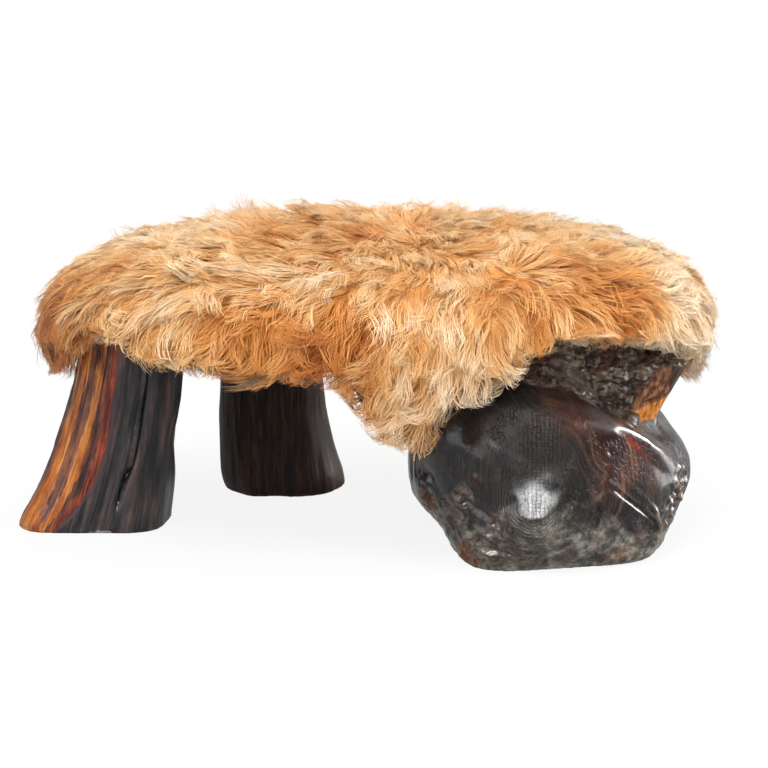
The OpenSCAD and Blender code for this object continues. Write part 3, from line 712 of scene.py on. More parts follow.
rootBurl = {
    "voxel": 0.0025,
    "smoothing": 14,  # rounds
    "axis": (0.227, -0.040),
    "crestHeight": 0.232,
    "crestDip": 0.084,
    "sawPoint": (0.362, -0.123, 0.206),
    "sawFace": (0.43, -0.82, -0.39),
    "splitPoint": (0.382, -0.150, 0.206),
    "splitFace": (0.90, 0.0, -0.43),
    "knot": (0.295, -0.220, 0.156),
    "stream": (0.42, -0.91, 0.017),  # the grain's way in x and z, and the radius of the eye that parts it
    # the lip under the neck, creases and the stem at the lower right: path, half width, rise, how pale it is
    # painted, partly rubbed pale with use and partly a painted highlight
    "ridges": [
        ([(0.297, -0.190, 0.192), (0.318, -0.192, 0.176), (0.349, -0.186, 0.153), (0.380, -0.154, 0.122)],
         0.0100, 0.0040, 0.0),
        ([(0.294, -0.225, 0.121), (0.313, -0.217, 0.102), (0.335, -0.204, 0.082), (0.354, -0.188, 0.062)],
         0.0026, 0.0036, 0.8),
        ([(0.290, -0.226, 0.110), (0.312, -0.217, 0.091), (0.336, -0.203, 0.071), (0.352, -0.189, 0.052)],
         0.0024, 0.0030, 0.5),
        ([(0.308, -0.219, 0.124), (0.326, -0.210, 0.106), (0.344, -0.197, 0.086), (0.358, -0.182, 0.064)],
         0.0024, 0.0030, 0.7),
        ([(0.355, -0.186, 0.066), (0.357, -0.180, 0.045), (0.353, -0.178, 0.020)], 0.0044, 0.0080, 1.0),
        ([(0.075, -0.15, 0.20), (0.060, -0.12, 0.13), (0.058, -0.10, 0.09)], 0.009, 0.003, 0.0),
    ],
    "grooves": [
        ([(0.280, -0.205, 0.192), (0.304, -0.204, 0.172), (0.334, -0.197, 0.146), (0.368, -0.170, 0.112)],
         0.006, 0.0004),
        ([(0.301, -0.223, 0.110), (0.322, -0.211, 0.090), (0.346, -0.194, 0.064)], 0.0034, 0.0046),
        ([(0.262, -0.238, 0.104), (0.285, -0.231, 0.086), (0.312, -0.216, 0.070)], 0.0045, 0.0032),
        ([(0.262, -0.238, 0.066), (0.290, -0.226, 0.050), (0.318, -0.206, 0.040), (0.345, -0.187, 0.030)],
         0.0050, 0.0046),
        ([(0.200, -0.240, 0.064), (0.230, -0.240, 0.054), (0.262, -0.236, 0.064)], 0.005, 0.0026),
        ([(0.066, -0.140, 0.110), (0.080, -0.158, 0.088), (0.096, -0.178, 0.062), (0.118, -0.196, 0.030)],
         0.006, 0.0050),
        ([(0.100, -0.185, 0.100), (0.130, -0.208, 0.080), (0.165, -0.228, 0.062)], 0.007, 0.0030),
        ([(0.372, -0.160, 0.092), (0.384, -0.140, 0.076), (0.376, -0.146, 0.058)], 0.004, 0.0050),
        ([(0.386, -0.140, 0.100), (0.395, -0.118, 0.090)], 0.003, 0.0040),
    ],
    "swells": [  # place, half width, rise
        ((0.282, -0.222, 0.050), 0.018, 0.0030),
        ((0.131, -0.208, 0.115), 0.009, 0.0028),
        ((0.198, -0.243, 0.063), 0.036, 0.0100), ((0.362, -0.150, 0.186), 0.022, -0.010),
        ((0.352, -0.178, 0.010), 0.014, 0.0050),
        ((0.384, -0.140, 0.110), 0.012, 0.0030),
    ],
    "softened": [  # edges rounded further: path, reach, rounds
        ([(0.140, -0.206, 0.196), (0.200, -0.205, 0.204), (0.260, -0.200, 0.204), (0.292, -0.192, 0.196)],
         0.016, 26),
        ([(0.300, -0.192, 0.188), (0.318, -0.192, 0.176), (0.349, -0.184, 0.153), (0.380, -0.152, 0.122)],
         0.018, 45),
    ],
    "rough": [  # edges where the wood is torn: place, half width, depth
        ((0.392, -0.125, 0.095), 0.020, 0.0050), ((0.380, -0.140, 0.070), 0.022, 0.0055),
        ((0.368, -0.150, 0.042), 0.020, 0.0045), ((0.068, -0.136, 0.080), 0.020, 0.0040),
        ((0.078, -0.130, 0.050), 0.020, 0.0040), ((0.110, -0.170, 0.020), 0.030, 0.0035),
    ],
    "pitted": [  # places where the polish sits over broken bark: place, half width
        ((0.100, -0.178, 0.060), 0.040), ((0.140, -0.210, 0.030), 0.036), ((0.165, -0.225, 0.060), 0.030),
        ((0.190, -0.225, 0.020), 0.030), ((0.388, -0.135, 0.080), 0.028), ((0.240, -0.228, 0.018), 0.026),
        ((0.068, -0.136, 0.070), 0.018), ((0.110, -0.190, 0.085), 0.026), ((0.376, -0.148, 0.050), 0.022),
    ],
    "lowBand": (0.062, 0.030),  # below this height the polish is painted grey, partly old bark and partly a painted reflection of the floor: height, blend
    # painted warmth: place, half width, share of red-brown, of grey-olive, of orange-brown
    "tints": [
        ((0.252, -0.205, 0.200), 0.040, 0.85, 0.0, 0.05), ((0.300, -0.214, 0.152), 0.034, 0.85, 0.0, 0.0),
        ((0.338, -0.196, 0.140), 0.030, 0.75, 0.0, 0.12), ((0.290, -0.225, 0.105), 0.026, 0.50, 0.0, 0.0),
        ((0.225, -0.240, 0.050), 0.045, 0.0, 0.75, 0.0), ((0.285, -0.215, 0.036), 0.035, 0.1, 0.60, 0.0),
        ((0.165, -0.222, 0.036), 0.036, 0.1, 0.65, 0.0), ((0.122, -0.192, 0.010), 0.028, 0.3, 0.0, 0.95),
        ((0.070, -0.138, 0.066), 0.018, 0.2, 0.0, 0.85), ((0.080, -0.150, 0.042), 0.018, 0.4, 0.0, 0.75),
        ((0.131, -0.208, 0.115), 0.011, 0.7, 0.0, 0.20), ((0.394, -0.130, 0.085), 0.022, 0.4, 0.1, 0.55),
        ((0.376, -0.150, 0.055), 0.020, 0.4, 0.0, 0.55), ((0.330, -0.205, 0.035), 0.026, 0.75, 0.25, 0.0),
        ((0.310, -0.205, 0.008), 0.030, 0.3, 0.0, 0.60), ((0.352, -0.188, 0.105), 0.022, 0.6, 0.0, 0.0),
        ((0.152, -0.212, 0.185), 0.012, 0.5, 0.0, 0.10), ((0.372, -0.150, 0.140), 0.030, 0.35, 0.25, 0.0),
        ((0.100, -0.180, 0.130), 0.016, 0.35, 0.0, 0.0), ((0.246, -0.151, 0.235), 0.018, 0.2, 0.75, 0.0),
        ((0.276, -0.152, 0.212), 0.018, 0.3, 0.70, 0.0),
    ],
    "smoothBark": [(0.236, -0.150, 0.246), (0.250, -0.152, 0.231), (0.268, -0.152, 0.218),
                   (0.291, -0.160, 0.199)],
    "redEdge": [(0.316, -0.203, 0.166), (0.336, -0.198, 0.148), (0.352, -0.188, 0.132)],
    "knotHeart": (0.302, -0.214, 0.146),
    "matt": [  # places without polish: place, half width
        ((0.180, -0.205, 0.200), 0.048), ((0.215, -0.215, 0.180), 0.040), ((0.282, -0.202, 0.188), 0.020),
        ((0.352, -0.125, 0.178), 0.024),
    ],
    # where the polish has crackled, fine ribs round the swell below a place, and the crack in the sawn face
    "cracked": [((0.212, -0.222, 0.160), 0.052), ((0.202, -0.245, 0.092), 0.024)],
    "ribbed": ((0.199, -0.240, 0.096), 0.036),
    "sawSplit": [(0.378, -0.113, 0.201), (0.366, -0.118, 0.196), (0.346, -0.124, 0.189)],
    "relief": {  # noises: height, size of the lumps, seed
        "neckEdge": [(0.004, 0.02, 31), (0.002, 0.008, 32)],
        "all": [(0.0012, 0.040, 34), (0.0005, 0.016, 43)],
        "low": [(0.0028, 0.026, 44), (0.0013, 0.010, 45), (0.0006, 0.005, 49)],
        "pits": [(0.0018, 0.009, 38), (0.0012, 0.0045, 39)],
        "torn": [(1.0, 0.012, 46), (0.6, 0.006, 47)],
        "stream": [(0.006, 0.06, 41), (0.0016, 0.020, 42)],
        "ribs": [(0.0045, 0.026, 48), (0.0012, 0.009, 51)],
    },
    "woods": {  # colours from the dark to the pale end of each finish
        "black": [(0.2, (0.004, 0.0035, 0.0036)), (0.6, (0.012, 0.0095, 0.0088)),
                  (0.95, (0.034, 0.024, 0.019))],
        "brown": [(0.10, (0.008, 0.0035, 0.0035)), (0.40, (0.026, 0.008, 0.0065)),
                  (0.65, (0.056, 0.017, 0.010)),
                  (0.85, (0.105, 0.038, 0.018)), (1.0, (0.17, 0.076, 0.036))],
        "olive": [(0.1, (0.016, 0.014, 0.011)), (0.45, (0.108, 0.097, 0.076)), (0.9, (0.38, 0.35, 0.29))],
        "rust": [(0.1, (0.030, 0.009, 0.006)), (0.5, (0.15, 0.045, 0.017)), (0.9, (0.36, 0.15, 0.06))],
        # crust: partly the bark's own colour and partly painted light, paler to make up for the fleece's
        # shadow over the neck
        "crust": [(0.05, (0.010, 0.007, 0.006)), (0.30, (0.125, 0.086, 0.064)), (0.60, (0.36, 0.28, 0.21)),
                  (1.0, (0.66, 0.57, 0.47))],
        "brownCut": [(0.1, (0.07, 0.024, 0.010)), (0.5, (0.19, 0.074, 0.030)), (0.9, (0.36, 0.17, 0.08))],
        "orangeCut": [(0.1, (0.30, 0.085, 0.012)), (0.5, (0.66, 0.22, 0.028)), (0.9, (0.85, 0.42, 0.11))],
    },
    "accents": {
        "heart": (0.022, 0.0055, 0.009),
        "veins": (0.26, 0.125, 0.060),
        "redCrust": (0.13, 0.048, 0.024),
        "polishedCrust": (0.012, 0.008, 0.006),
        "redEdge": (0.23, 0.020, 0.008),
        "gritAndGlints": (0.55, 0.50, 0.43),
        "paintedGreySheen": (0.040, 0.034, 0.030),
        "wornAndHighlit": (0.27, 0.22, 0.17),
        "grooveDark": (0.005, 0.0035, 0.003),
        "cutCorner": (0.02, 0.014, 0.012),
        "cutSplit": (0.004, 0.003, 0.002),
        "crack": (0.004, 0.0035, 0.003),
        "ribs": (0.16, 0.145, 0.12),
    },
}


def crestAt(angle):
    d = turnTo(angle + 22)
    return rootBurl["crestHeight"] - rootBurl["crestDip"] * hump(d, np.where(d > 0, 84, 50))


def burlZones(points, normals):
    # the rough neck, the sawn faces, the bark, and where the polish sits over broken bark
    x, y, height = points.T
    centreX, centreY = rootBurl["axis"]
    angle = np.degrees(np.arctan2(y - centreY, x - centreX))
    ragged = relief(points, rootBurl["relief"]["neckEdge"])
    neck = step((height - crestAt(angle) - 0.004 + ragged) / 0.008)
    neck *= 1 - step((x - 0.332) / 0.012) * step((0.196 + ragged - height) / 0.006)
    sawn = np.zeros(len(points))
    for point, face in (("sawPoint", "sawFace"), ("splitPoint", "splitFace")):
        offPlane = np.abs((points - np.array(rootBurl[point])) @ np.array(rootBurl[face]))
        facing = normals @ np.array(rootBurl[face])
        near = step((height - 0.165) / 0.01) * (x > 0.325)
        sawn = np.maximum(sawn, step((0.005 - offPlane) / 0.003) * step((facing - 0.75) / 0.15) * near)
    smooth, _ = pathDistance(points, rootBurl["smoothBark"])
    bark = neck * (1 - sawn) * (1 - 0.85 * hump(smooth, 0.011))
    pits = spots(points, rootBurl["pitted"])
    pits += 0.9 * step((y + 0.09) / 0.06) * step((softNoise(points, 0.070, 57) - 0.15) / 0.3)
    pits = step((pits + 0.25 * softNoise(points, 0.015, 33) - 0.45) / 0.25) * (1 - neck)
    return neck, sawn, bark, pits


def carveBurl(points, neck, sawn, bark, pits):
    # how far each point moves outwards, and how pale it is painted, partly rubbed with use and partly a
    # painted highlight; below 0 in grooves, which are painted darker
    waves = rootBurl["relief"]
    low = step((0.10 - points[:, 2]) / 0.06) * (1 - neck)
    move = relief(points, waves["all"]) + low * relief(points, waves["low"])
    move += pits * relief(points, waves["pits"])
    # the bark of the neck is broken into blocks, with a finer crust on them
    blocks = softNoise(points * (0.6, 1, 1.2), 0.013, 35)
    creases = np.abs(softNoise(points * (0.5, 1, 1.3), 0.008, 37))
    move += bark * (0.0060 * np.sign(blocks) * np.abs(blocks) ** 0.5 + 0.0030 * softNoise(points, 0.008, 36)
                    - 0.0030 * hump(creases, 0.12) - 0.0015)
    ridgePaleGrooveDark = np.zeros(len(points))
    for path, width, rise, paleness in rootBurl["ridges"]:
        distance, along = pathDistance(points, path)
        move += rise * hump(distance, width) * np.sin(np.pi * np.clip(along * 0.9 + 0.05, 0, 1)) ** 0.5
        ridgePaleGrooveDark = np.maximum(ridgePaleGrooveDark, paleness * hump(distance, 0.0018 + 0.0016 * paleness))
    for path, width, depth in rootBurl["grooves"]:
        distance, along = pathDistance(points, path)
        move -= depth * hump(distance, width) * np.sin(np.pi * np.clip(along, 0.02, 0.98)) ** 0.5
        grooveDark = hump(distance, 0.003)
        ridgePaleGrooveDark = np.where(grooveDark > ridgePaleGrooveDark, -grooveDark, ridgePaleGrooveDark)
    for place, width, rise in rootBurl["swells"]:
        move += rise * hump(distanceTo(points, place), width)
    torn = (relief(points, waves["torn"]) - 0.2) * (1 - neck)
    for place, width, depth in rootBurl["rough"]:
        move += depth * torn * hump(distanceTo(points, place), width)
    knot = distanceTo(points, rootBurl["knot"])
    move += 0.0010 * hump(knot - 0.009, 0.004) - 0.0024 * hump(knot, 0.004)
    split, _ = pathDistance(points, rootBurl["sawSplit"])
    move += sawn * (0.0004 * softNoise(points, 0.006, 40) - 0.004 * hump(split, 0.0022))
    return move, ridgePaleGrooveDark


def burlStream(points, fromKnot):
    # the grain parts round the knot as water does round a stone, and further off it lies flatter
    streamX, streamZ, eye = rootBurl["stream"]
    x, _, z = fromKnot.T
    reach = np.hypot(x, z)
    bend = 0.5 * step((reach - 0.02) / 0.10) * np.sign(z)
    across = x * (streamZ * np.cos(bend) + streamX * np.sin(bend))
    across -= z * (streamX * np.cos(bend) - streamZ * np.sin(bend))
    stream = across * (1 - eye ** 2 / (reach ** 2 + 0.2 * eye ** 2))
    stream += relief(points, rootBurl["relief"]["stream"])
    return np.stack([stream, x, z], 1)


def paintBurl(mesh, points, neck, split, red):
    # where each tone and finish of the burl lies
    x, y, height = points.T
    lower = step((0.193 - height + 0.35 * (x - 0.362)) / 0.003)
    darkCorner = step((x - 0.373) / 0.003) * step((height - 0.2) / 0.004)
    crackled = spots(points, rootBurl["cracked"], (1.5, 1, 0.9))
    setAttribute(mesh, "tones", np.stack([crackled, lower, darkCorner], 1))
    tints = np.zeros((len(points), 3))
    for place, width, *shares in rootBurl["tints"]:
        tints += hump(distanceTo(points, place), width)[:, None] * np.array(shares)
    # the far side has red figure too, in clouds
    behind = step((y + 0.09) / 0.06) * (1 - neck)
    tints[:, 0] += behind * step((softNoise(points, 0.080, 55) + 0.1) / 0.5)
    tints[:, 2] += behind * step((softNoise(points, 0.060, 56) - 0.35) / 0.3)
    setAttribute(mesh, "tints", tints.clip(0, 1))
    place, width = rootBurl["ribbed"]
    fromSwell = (points - np.array(place)) * (1, 0.4, 0.8)
    ring = np.linalg.norm(fromSwell, axis=1)
    below = step((0.010 - fromSwell[:, 2] - 0.5 * fromSwell[:, 0]) / 0.03)
    ribbed = below * hump(ring - width, 0.5 * width)
    setAttribute(mesh, "ribs", np.stack([ring + relief(points, rootBurl["relief"]["ribs"]), ribbed, red], 1))
    heart = distanceTo(points, rootBurl["knotHeart"], (1.7, 1, 0.8))
    limit, fade = rootBurl["lowBand"]
    grey = step((limit + 0.020 * softNoise(points, 0.030, 50) - height) / fade)
    setAttribute(mesh, "lines", np.stack([grey, heart, split], 1))
    setAttribute(mesh, "matt", spots(points, rootBurl["matt"]))


def makeRootBurl():
    piece = evenCopy("burl_leg", "rootBurl", rootBurl["voxel"], rootBurl["smoothing"])
    mesh = piece.data
    points, normals = readPoints(mesh), readNormals(mesh)
    neck, sawn, bark, pits = burlZones(points, normals)
    move, ridgePaleGrooveDark = carveBurl(points, neck, sawn, bark, pits)
    fromKnot = points - np.array(rootBurl["knot"])
    split, _ = pathDistance(points, rootBurl["sawSplit"])
    red, _ = pathDistance(points, rootBurl["redEdge"])
    points += normals * (move * clearOfEnds(points[:, 2], 0.006, 0.286))[:, None]
    # where the branch was sawn, what stands before the cut is brought back onto it
    face = np.array(rootBurl["sawFace"])
    ahead = (points - np.array(rootBurl["sawPoint"])) @ face
    cut = (ahead > 0) * (ahead < 0.014) * (points[:, 2] > 0.166) * (points[:, 0] > 0.338)
    points -= (ahead * cut)[:, None] * face
    sawn = np.maximum(sawn, cut)
    standFlat(points)
    writePoints(mesh, points)
    for path, reach, rounds in rootBurl["softened"]:
        soften(mesh, pathDistance(points, path)[0] < reach, rounds)
    setAttribute(mesh, "figure", burlStream(points, fromKnot))
    setAttribute(mesh, "parts", np.stack([bark * (1 - sawn), sawn, pits], 1))
    setAttribute(mesh, "ridgePaleGrooveDark", ridgePaleGrooveDark)
    paintBurl(mesh, points, neck, split, red)
    mesh.materials.append(rootBurlMaterial())
    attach(piece, "root")
    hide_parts("burl_leg")
    return piece


def rootBurlMaterial():
    material, tree, shader = newMaterial("rootBurlWood", Roughness=0.4, Coat_Weight=1.0, Coat_Roughness=0.13,
                                         Specular_IOR_Level=0.25)
    place = objectPlace(tree)
    figure = attributeOn(tree, "figure", "Vector")
    bark, sawn, pits = partsOf(tree, attributeOn(tree, "parts", "Vector"))
    crackled, lower, corner = partsOf(tree, attributeOn(tree, "tones", "Vector"))
    red, olive, rusty = partsOf(tree, attributeOn(tree, "tints", "Vector"))
    ribs, ribbed, redEdge = partsOf(tree, attributeOn(tree, "ribs", "Vector"))
    grey, heart, split = partsOf(tree, attributeOn(tree, "lines", "Vector"))
    cloud = noiseOn(tree, place, 34.0, 6, 0.62, 0.6)
    ragged = mathOn(tree, "SUBTRACT", cloud, 0.5)
    woods, accents = rootBurl["woods"], rootBurl["accents"]

    def patch(mask, low, high):
        return rangeOn(tree, plus(tree, mask, times(tree, ragged, 1.6)), low, high)

    def tinted(colour, share, accent):
        return mixColours(tree, share, colour, accents[accent])
    # figure: fine lines and broad bands that follow the grain round the knot
    fineGrain, bandGrain = stretched(tree, figure, (420, 22, 22)), stretched(tree, figure, (90, 16, 16))
    lines = rangeOn(tree, noiseOn(tree, fineGrain, 0.8, 5, 0.65, 0.4), 0.34, 0.68)
    bands = rangeOn(tree, noiseOn(tree, bandGrain, 0.8, 4, 0.6, 0.6), 0.36, 0.64)
    black = rampOn(tree, lines, woods["black"])
    brown = rampOn(tree, blend(tree, lines, bands, 0.45), woods["brown"])
    colour = mixColours(tree, patch(red, 0.15, 0.85), black, brown)
    heartShare = rangeOn(tree, plus(tree, heart, times(tree, ragged, 0.02)), 0.026, 0.014, 0.0, 0.85)
    colour = tinted(colour, heartShare, "heart")
    # pale lines in the grain beside the knot
    veins = rangeOn(tree, noiseOn(tree, stretched(tree, figure, (170, 7, 7)), 1.0, 2, 0.5), 0.58, 0.70)
    colour = tinted(colour, times(tree, veins, rangeOn(tree, heart, 0.075, 0.030, 0.0, 0.55)), "veins")
    # grey-olive low down, partly the wood's colour and partly a painted reflection of the floor, rust at the
    # torn rims, and crust on the neck and in the pits, paler on the neck as painted light
    oliveGrain = blend(tree, noiseOn(tree, place, 110.0, 7, 0.72), noiseOn(tree, place, 24.0, 3, 0.5), 0.6)
    oliveWood = rampOn(tree, rangeOn(tree, oliveGrain, 0.38, 0.62), woods["olive"])
    oliveShare = larger(tree, patch(olive, 0.20, 0.95), patch(grey, 0.25, 0.9))
    colour = mixColours(tree, oliveShare, colour, oliveWood)
    crust = useGroup(tree, shared["crust"], {"Vector": place, "Scale": 75.0})
    lumps = rangeOn(tree, crust.outputs["Height"], 0.44, 0.68)
    reddish = rangeOn(tree, cloud, 0.50, 0.62, 0.0, 0.7)
    # the crust's pale colours are partly painted light, lifting the neck out of the fleece's shadow
    crustWood = tinted(rampOn(tree, lumps, woods["crust"]), reddish, "redCrust")
    crustWood = tinted(crustWood, times(tree, pits, 0.55), "polishedCrust")
    rough = larger(tree, bark, times(tree, pits, 0.8))
    colour = mixColours(tree, rough, colour, crustWood)
    rustGrain = rangeOn(tree, noiseOn(tree, place, 130.0, 5, 0.7), 0.36, 0.64)
    rusted = patch(rusty, 0.25, 0.75)
    colour = mixColours(tree, rusted, colour, rampOn(tree, rustGrain, woods["rust"]))
    redLine = rangeOn(tree, plus(tree, redEdge, times(tree, ragged, 0.004)), 0.0055, 0.0010)
    colour = tinted(colour, redLine, "redEdge")
    # pale flecks on the rough wood, partly grit and partly painted glints
    colour = tinted(colour, times(tree, crust.outputs["Specks"], times(tree, rough, 0.6)), "gritAndGlints")
    # between its cracks the crackled polish is painted greyer, a painted sheen; ridges are painted pale,
    # partly rubbed with use and partly a painted highlight, and grooves are painted darker
    crackledHere = patch(crackled, 0.3, 0.8)
    # painted grey sheen on the crackled polish
    colour = tinted(colour, times(tree, crackledHere, 0.55), "paintedGreySheen")
    ridgePaleGrooveDark = attributeOn(tree, "ridgePaleGrooveDark")
    wornAndHighlit = times(tree, rangeOn(tree, ridgePaleGrooveDark, 0.30, 0.85), rangeOn(tree, cloud, 0.42, 0.60, 0.35, 0.95))
    # pale ridges: partly rubbed with use, partly a painted highlight
    colour = tinted(colour, wornAndHighlit, "wornAndHighlit")
    # grooves are painted darker
    colour = tinted(colour, rangeOn(tree, ridgePaleGrooveDark, -0.35, -0.85, 0.0, 0.85), "grooveDark")
    # the sawn faces: orange below, brown above, darker at the corner, with a crack between
    cutShade = rangeOn(tree, streaksOn(tree, place, 130.0, 24.0, 0.8)["Fine"], 0.36, 0.64)
    brownCut = rampOn(tree, cutShade, woods["brownCut"])
    cutWood = mixColours(tree, lower, brownCut, rampOn(tree, cutShade, woods["orangeCut"]))
    cutWood = mixColours(tree, corner, cutWood, tinted(brownCut, 0.8, "cutCorner"))
    cutWood = tinted(cutWood, rangeOn(tree, split, 0.0020, 0.0008), "cutSplit")
    colour = mixColours(tree, sawn, colour, cutWood)
    # crackle: upright lines crossed by shorter level ones, with hair cracks between them
    broken = rangeOn(tree, noiseOn(tree, place, 90.0, 4, 0.6), 0.42, 0.60)
    crackle = larger(tree, crackLines(tree, place, 62.0, 4.0, 1.5, "X"),
                     times(tree, crackLines(tree, place, 78.0, 5.0, 2.0, "Z"), broken))
    polished = mathOn(tree, "SUBTRACT", 1.0, larger(tree, rough, sawn))
    tall = stretched(tree, place, (1.5, 1.5, 0.7))
    hair = useGroup(tree, shared["checks"], {"Vector": tall, "Scale": 170.0, "Width": 0.06}).outputs[0]
    cracks = larger(tree, times(tree, crackle, crackledHere), times(tree, hair, 0.5))
    cracks = times(tree, cracks, polished)
    colour = tinted(colour, times(tree, cracks, 0.8), "crack")
    # fine ribs round the swell, their tops painted paler, partly the grain's colour and partly a painted
    # highlight
    ribWave = mathOn(tree, "SINE", times(tree, ribs, 1900.0))
    ribHeight = times(tree, ribWave, patch(ribbed, 0.25, 0.8), polished)
    ribShade = larger(tree, rangeOn(tree, ribHeight, -1.0, 1.0, -0.25, 0.25), 0.0)
    colour = tinted(colour, ribShade, "ribs")
    # the coat of polish is thin or missing where the wood is dull
    unpolished = rangeOn(tree, attributeOn(tree, "matt"), 0.12, 0.45)
    dust = rangeOn(tree, noiseOn(tree, place, 260.0, 4, 0.7), 0.50, 0.66, 0.0, 0.75)
    dull = larger(tree, sawn, times(tree, rusted, 0.6), times(tree, bark, 0.75), times(tree, cracks, 0.7),
                  unpolished, dust)
    tree.links.new(mathOn(tree, "SUBTRACT", 1.0, dull), shader.inputs["Coat Weight"])
    coarse = larger(tree, rough, sawn, unpolished)
    bump = bumpOn(tree, times(tree, lumps, rough), 1.0, 0.0045)
    bump = bumpOn(tree, noiseOn(tree, place, 42.0, 5, 0.55), 0.35, 0.0040, bump)
    bump = bumpOn(tree, times(tree, noiseOn(tree, place, 240.0, 6, 0.7), grey), 0.8, 0.0020, bump)
    bump = bumpOn(tree, times(tree, cracks, -1.0), 1.0, 0.0015, bump)
    bump = bumpOn(tree, ribHeight, 0.7, 0.0007, bump)
    bump = bumpOn(tree, lines, 0.20, 0.0008, bump)
    finishLook(tree, shader, colour, bump, rangeOn(tree, coarse, 0.0, 1.0, 0.32, 0.55))
    return material


def crackLines(tree, place, scale, warp, warpScale, axis):
    # thin wavering lines, set along one axis
    values = {"Vector": place, "Scale": scale, "Distortion": warp, "Detail": 3.0, "Detail Scale": warpScale}
    wave = addNode(tree, "ShaderNodeTexWave", values, bands_direction=axis)
    return rangeOn(tree, wave.outputs["Fac"], 0.22, 0.04)


# Soft layers: each is a dome over the plank, with its edge hanging to a hem

seat = {
    "middle": 0.004,
    "halfLength": 0.383,
    "halfWidth": 0.200,
    "square": 2.4,
    "skirt": 0.298,  # height where the dome turns down
    "padCrown": 0.3544,
    "roundness": 2.8,
    "padOver": 0.004,
    "hem": 0.243,
    "flapDrop": 0.080,
    # direction, rise in parts of the flap's drop, spread
    "hemWaves": [(-76, -1, 7), (-88, -0.75, 8), (-60, -0.23, 7), (-40, 0.47, 12), (-26, 0.22, 9),
                 (8, -0.88, 8),
                 (-153, 0.4, 8), (178, -0.47, 16), (150, 0.18, 10), (118, -0.38, 9), (62, -0.2, 14),
                 (35, 0.18, 10)],
    "shornWaves": [(-162, -0.22, 4), (-46, 0.16, 9), (-24, 0.08, 8), (-137, 0.16, 8), (-117, 0.07, 14),
                   (-101, 0.05, 4)],
    # where the wool ends above the leather's edge: from and to on its outside and inside, slope, height
    "notch": {"outside": (-156.3, -147.0), "inside": (-167.0, -155.5), "slope": 1.3, "height": 0.287},
    "leatherWaves": [(-167, 0.24, 6), (-154, -0.12, 5)],
    "wobble": [(0.003, 3, 40), (0.002, 5, 90)],  # unevenness of the outline: size, count, phase in degrees
    "spread": 0.8,  # how evenly the rows lie from the middle out
    "domeRows": 0.62,  # share of a layer's rows that lie on its dome
}
pile = {  # outside of the fleece's pile, as the CAD node has it
    "over": 0.0554,  # how far it stands out past the seat
    "crown": 0.4028,
    "skirt": 0.26325,  # lowest height where it turns down
    "hemRoll": 0.012,  # least way from there to its hem
    "tuck": 0.012,  # how far the hem turns in
    "spread": 0.85,  # as the seat's
    "roundness": 2.35,
    # height, waves round the seat, their turn and phase, and the rise towards the hem, in degrees
    "lumps": [(0.00414, 3, 190, 0, 100), (0.00276, 7, -160, 90, 80)],
    "bulge": (4, 24, 0.0092),  # direction, spread, size
}


def seatRadius(angle, grow):
    c, s = np.cos(np.radians(angle)), np.sin(np.radians(angle))
    rx, ry, n = seat["halfLength"] + grow, seat["halfWidth"] + grow, seat["square"]
    radius = ((np.abs(c) / rx) ** n + (np.abs(s) / ry) ** n) ** (-1 / n)
    return radius + wobbleAt(angle, seat["wobble"])


def wobbleAt(angle, waves):
    return sum(size * np.sin(np.radians(count * angle + phase)) for size, count, phase in waves)


def wavesAt(angle, waves):
    # rises and drops of an edge round the seat
    total = sum(rise * hump(turnTo(angle - direction), spread) for direction, rise, spread in seat[waves])
    return seat["flapDrop"] * total


def hemAt(angle):
    return seat["hem"] + wavesAt(angle, "hemWaves")


def pileHem(angle, layer="outside"):
    # the wool is shorter than the CAD hem in a few places, where the leather or the burl shows
    notch = seat["notch"]
    first, last = notch[layer]
    inside = (turnTo(angle - first), turnTo(last - angle))
    open = np.prod([step(side / notch["slope"] + 0.5) for side in inside], 0)
    low = hemAt(angle) + wavesAt(angle, "shornWaves")
    return low + (np.maximum(low, notch["height"]) - low) * open


def domeRise(reach, roundness):
    return np.maximum(1 - reach ** roundness, 0) ** (1 / roundness)


def reachAt(part, spread):
    # part is 0 in the middle of the seat, 1 where its dome turns down and 2 at the hem
    return np.sin(np.radians(90 * np.minimum(part, 1))) ** spread


def roundSeat(angle, radius, height):
    around = np.radians(angle)
    return np.stack([seat["middle"] + radius * np.cos(around), radius * np.sin(around), height], -1)


def layerPoint(angle, part, out, low):
    reach = reachAt(part, seat["spread"])
    skirt = seat["skirt"]
    dome = skirt + (seat["padCrown"] + out - skirt) * domeRise(reach, seat["roundness"])
    height = np.where(part <= 1, dome, skirt + (low - skirt) * np.maximum(part - 1, 0))
    return roundSeat(angle, seatRadius(angle, seat["padOver"] + out) * reach, height)


def pilePoint(angle, part):
    reach = reachAt(part, pile["spread"])
    radius = seatRadius(angle, pile["over"])
    for size, count, turn, phase, rise in pile["lumps"]:
        wave = np.sin(np.radians(count * angle + turn * part + phase))
        radius = radius + size * wave * np.sin(np.radians(rise * part))
    direction, spread, size = pile["bulge"]
    radius = radius + size * hump(turnTo(angle - direction), spread) * reach
    hem = pileHem(angle)
    skirt = np.maximum(pile["skirt"], hem + pile["hemRoll"])
    dome = skirt + (pile["crown"] - skirt) * domeRise(reach, pile["roundness"])
    down = np.maximum(part - 1, 0)
    height = np.where(part <= 1, dome, skirt + (hem - skirt) * down)
    return roundSeat(angle, radius * reach - pile["tuck"] * np.minimum(down, 1) ** 2, height)


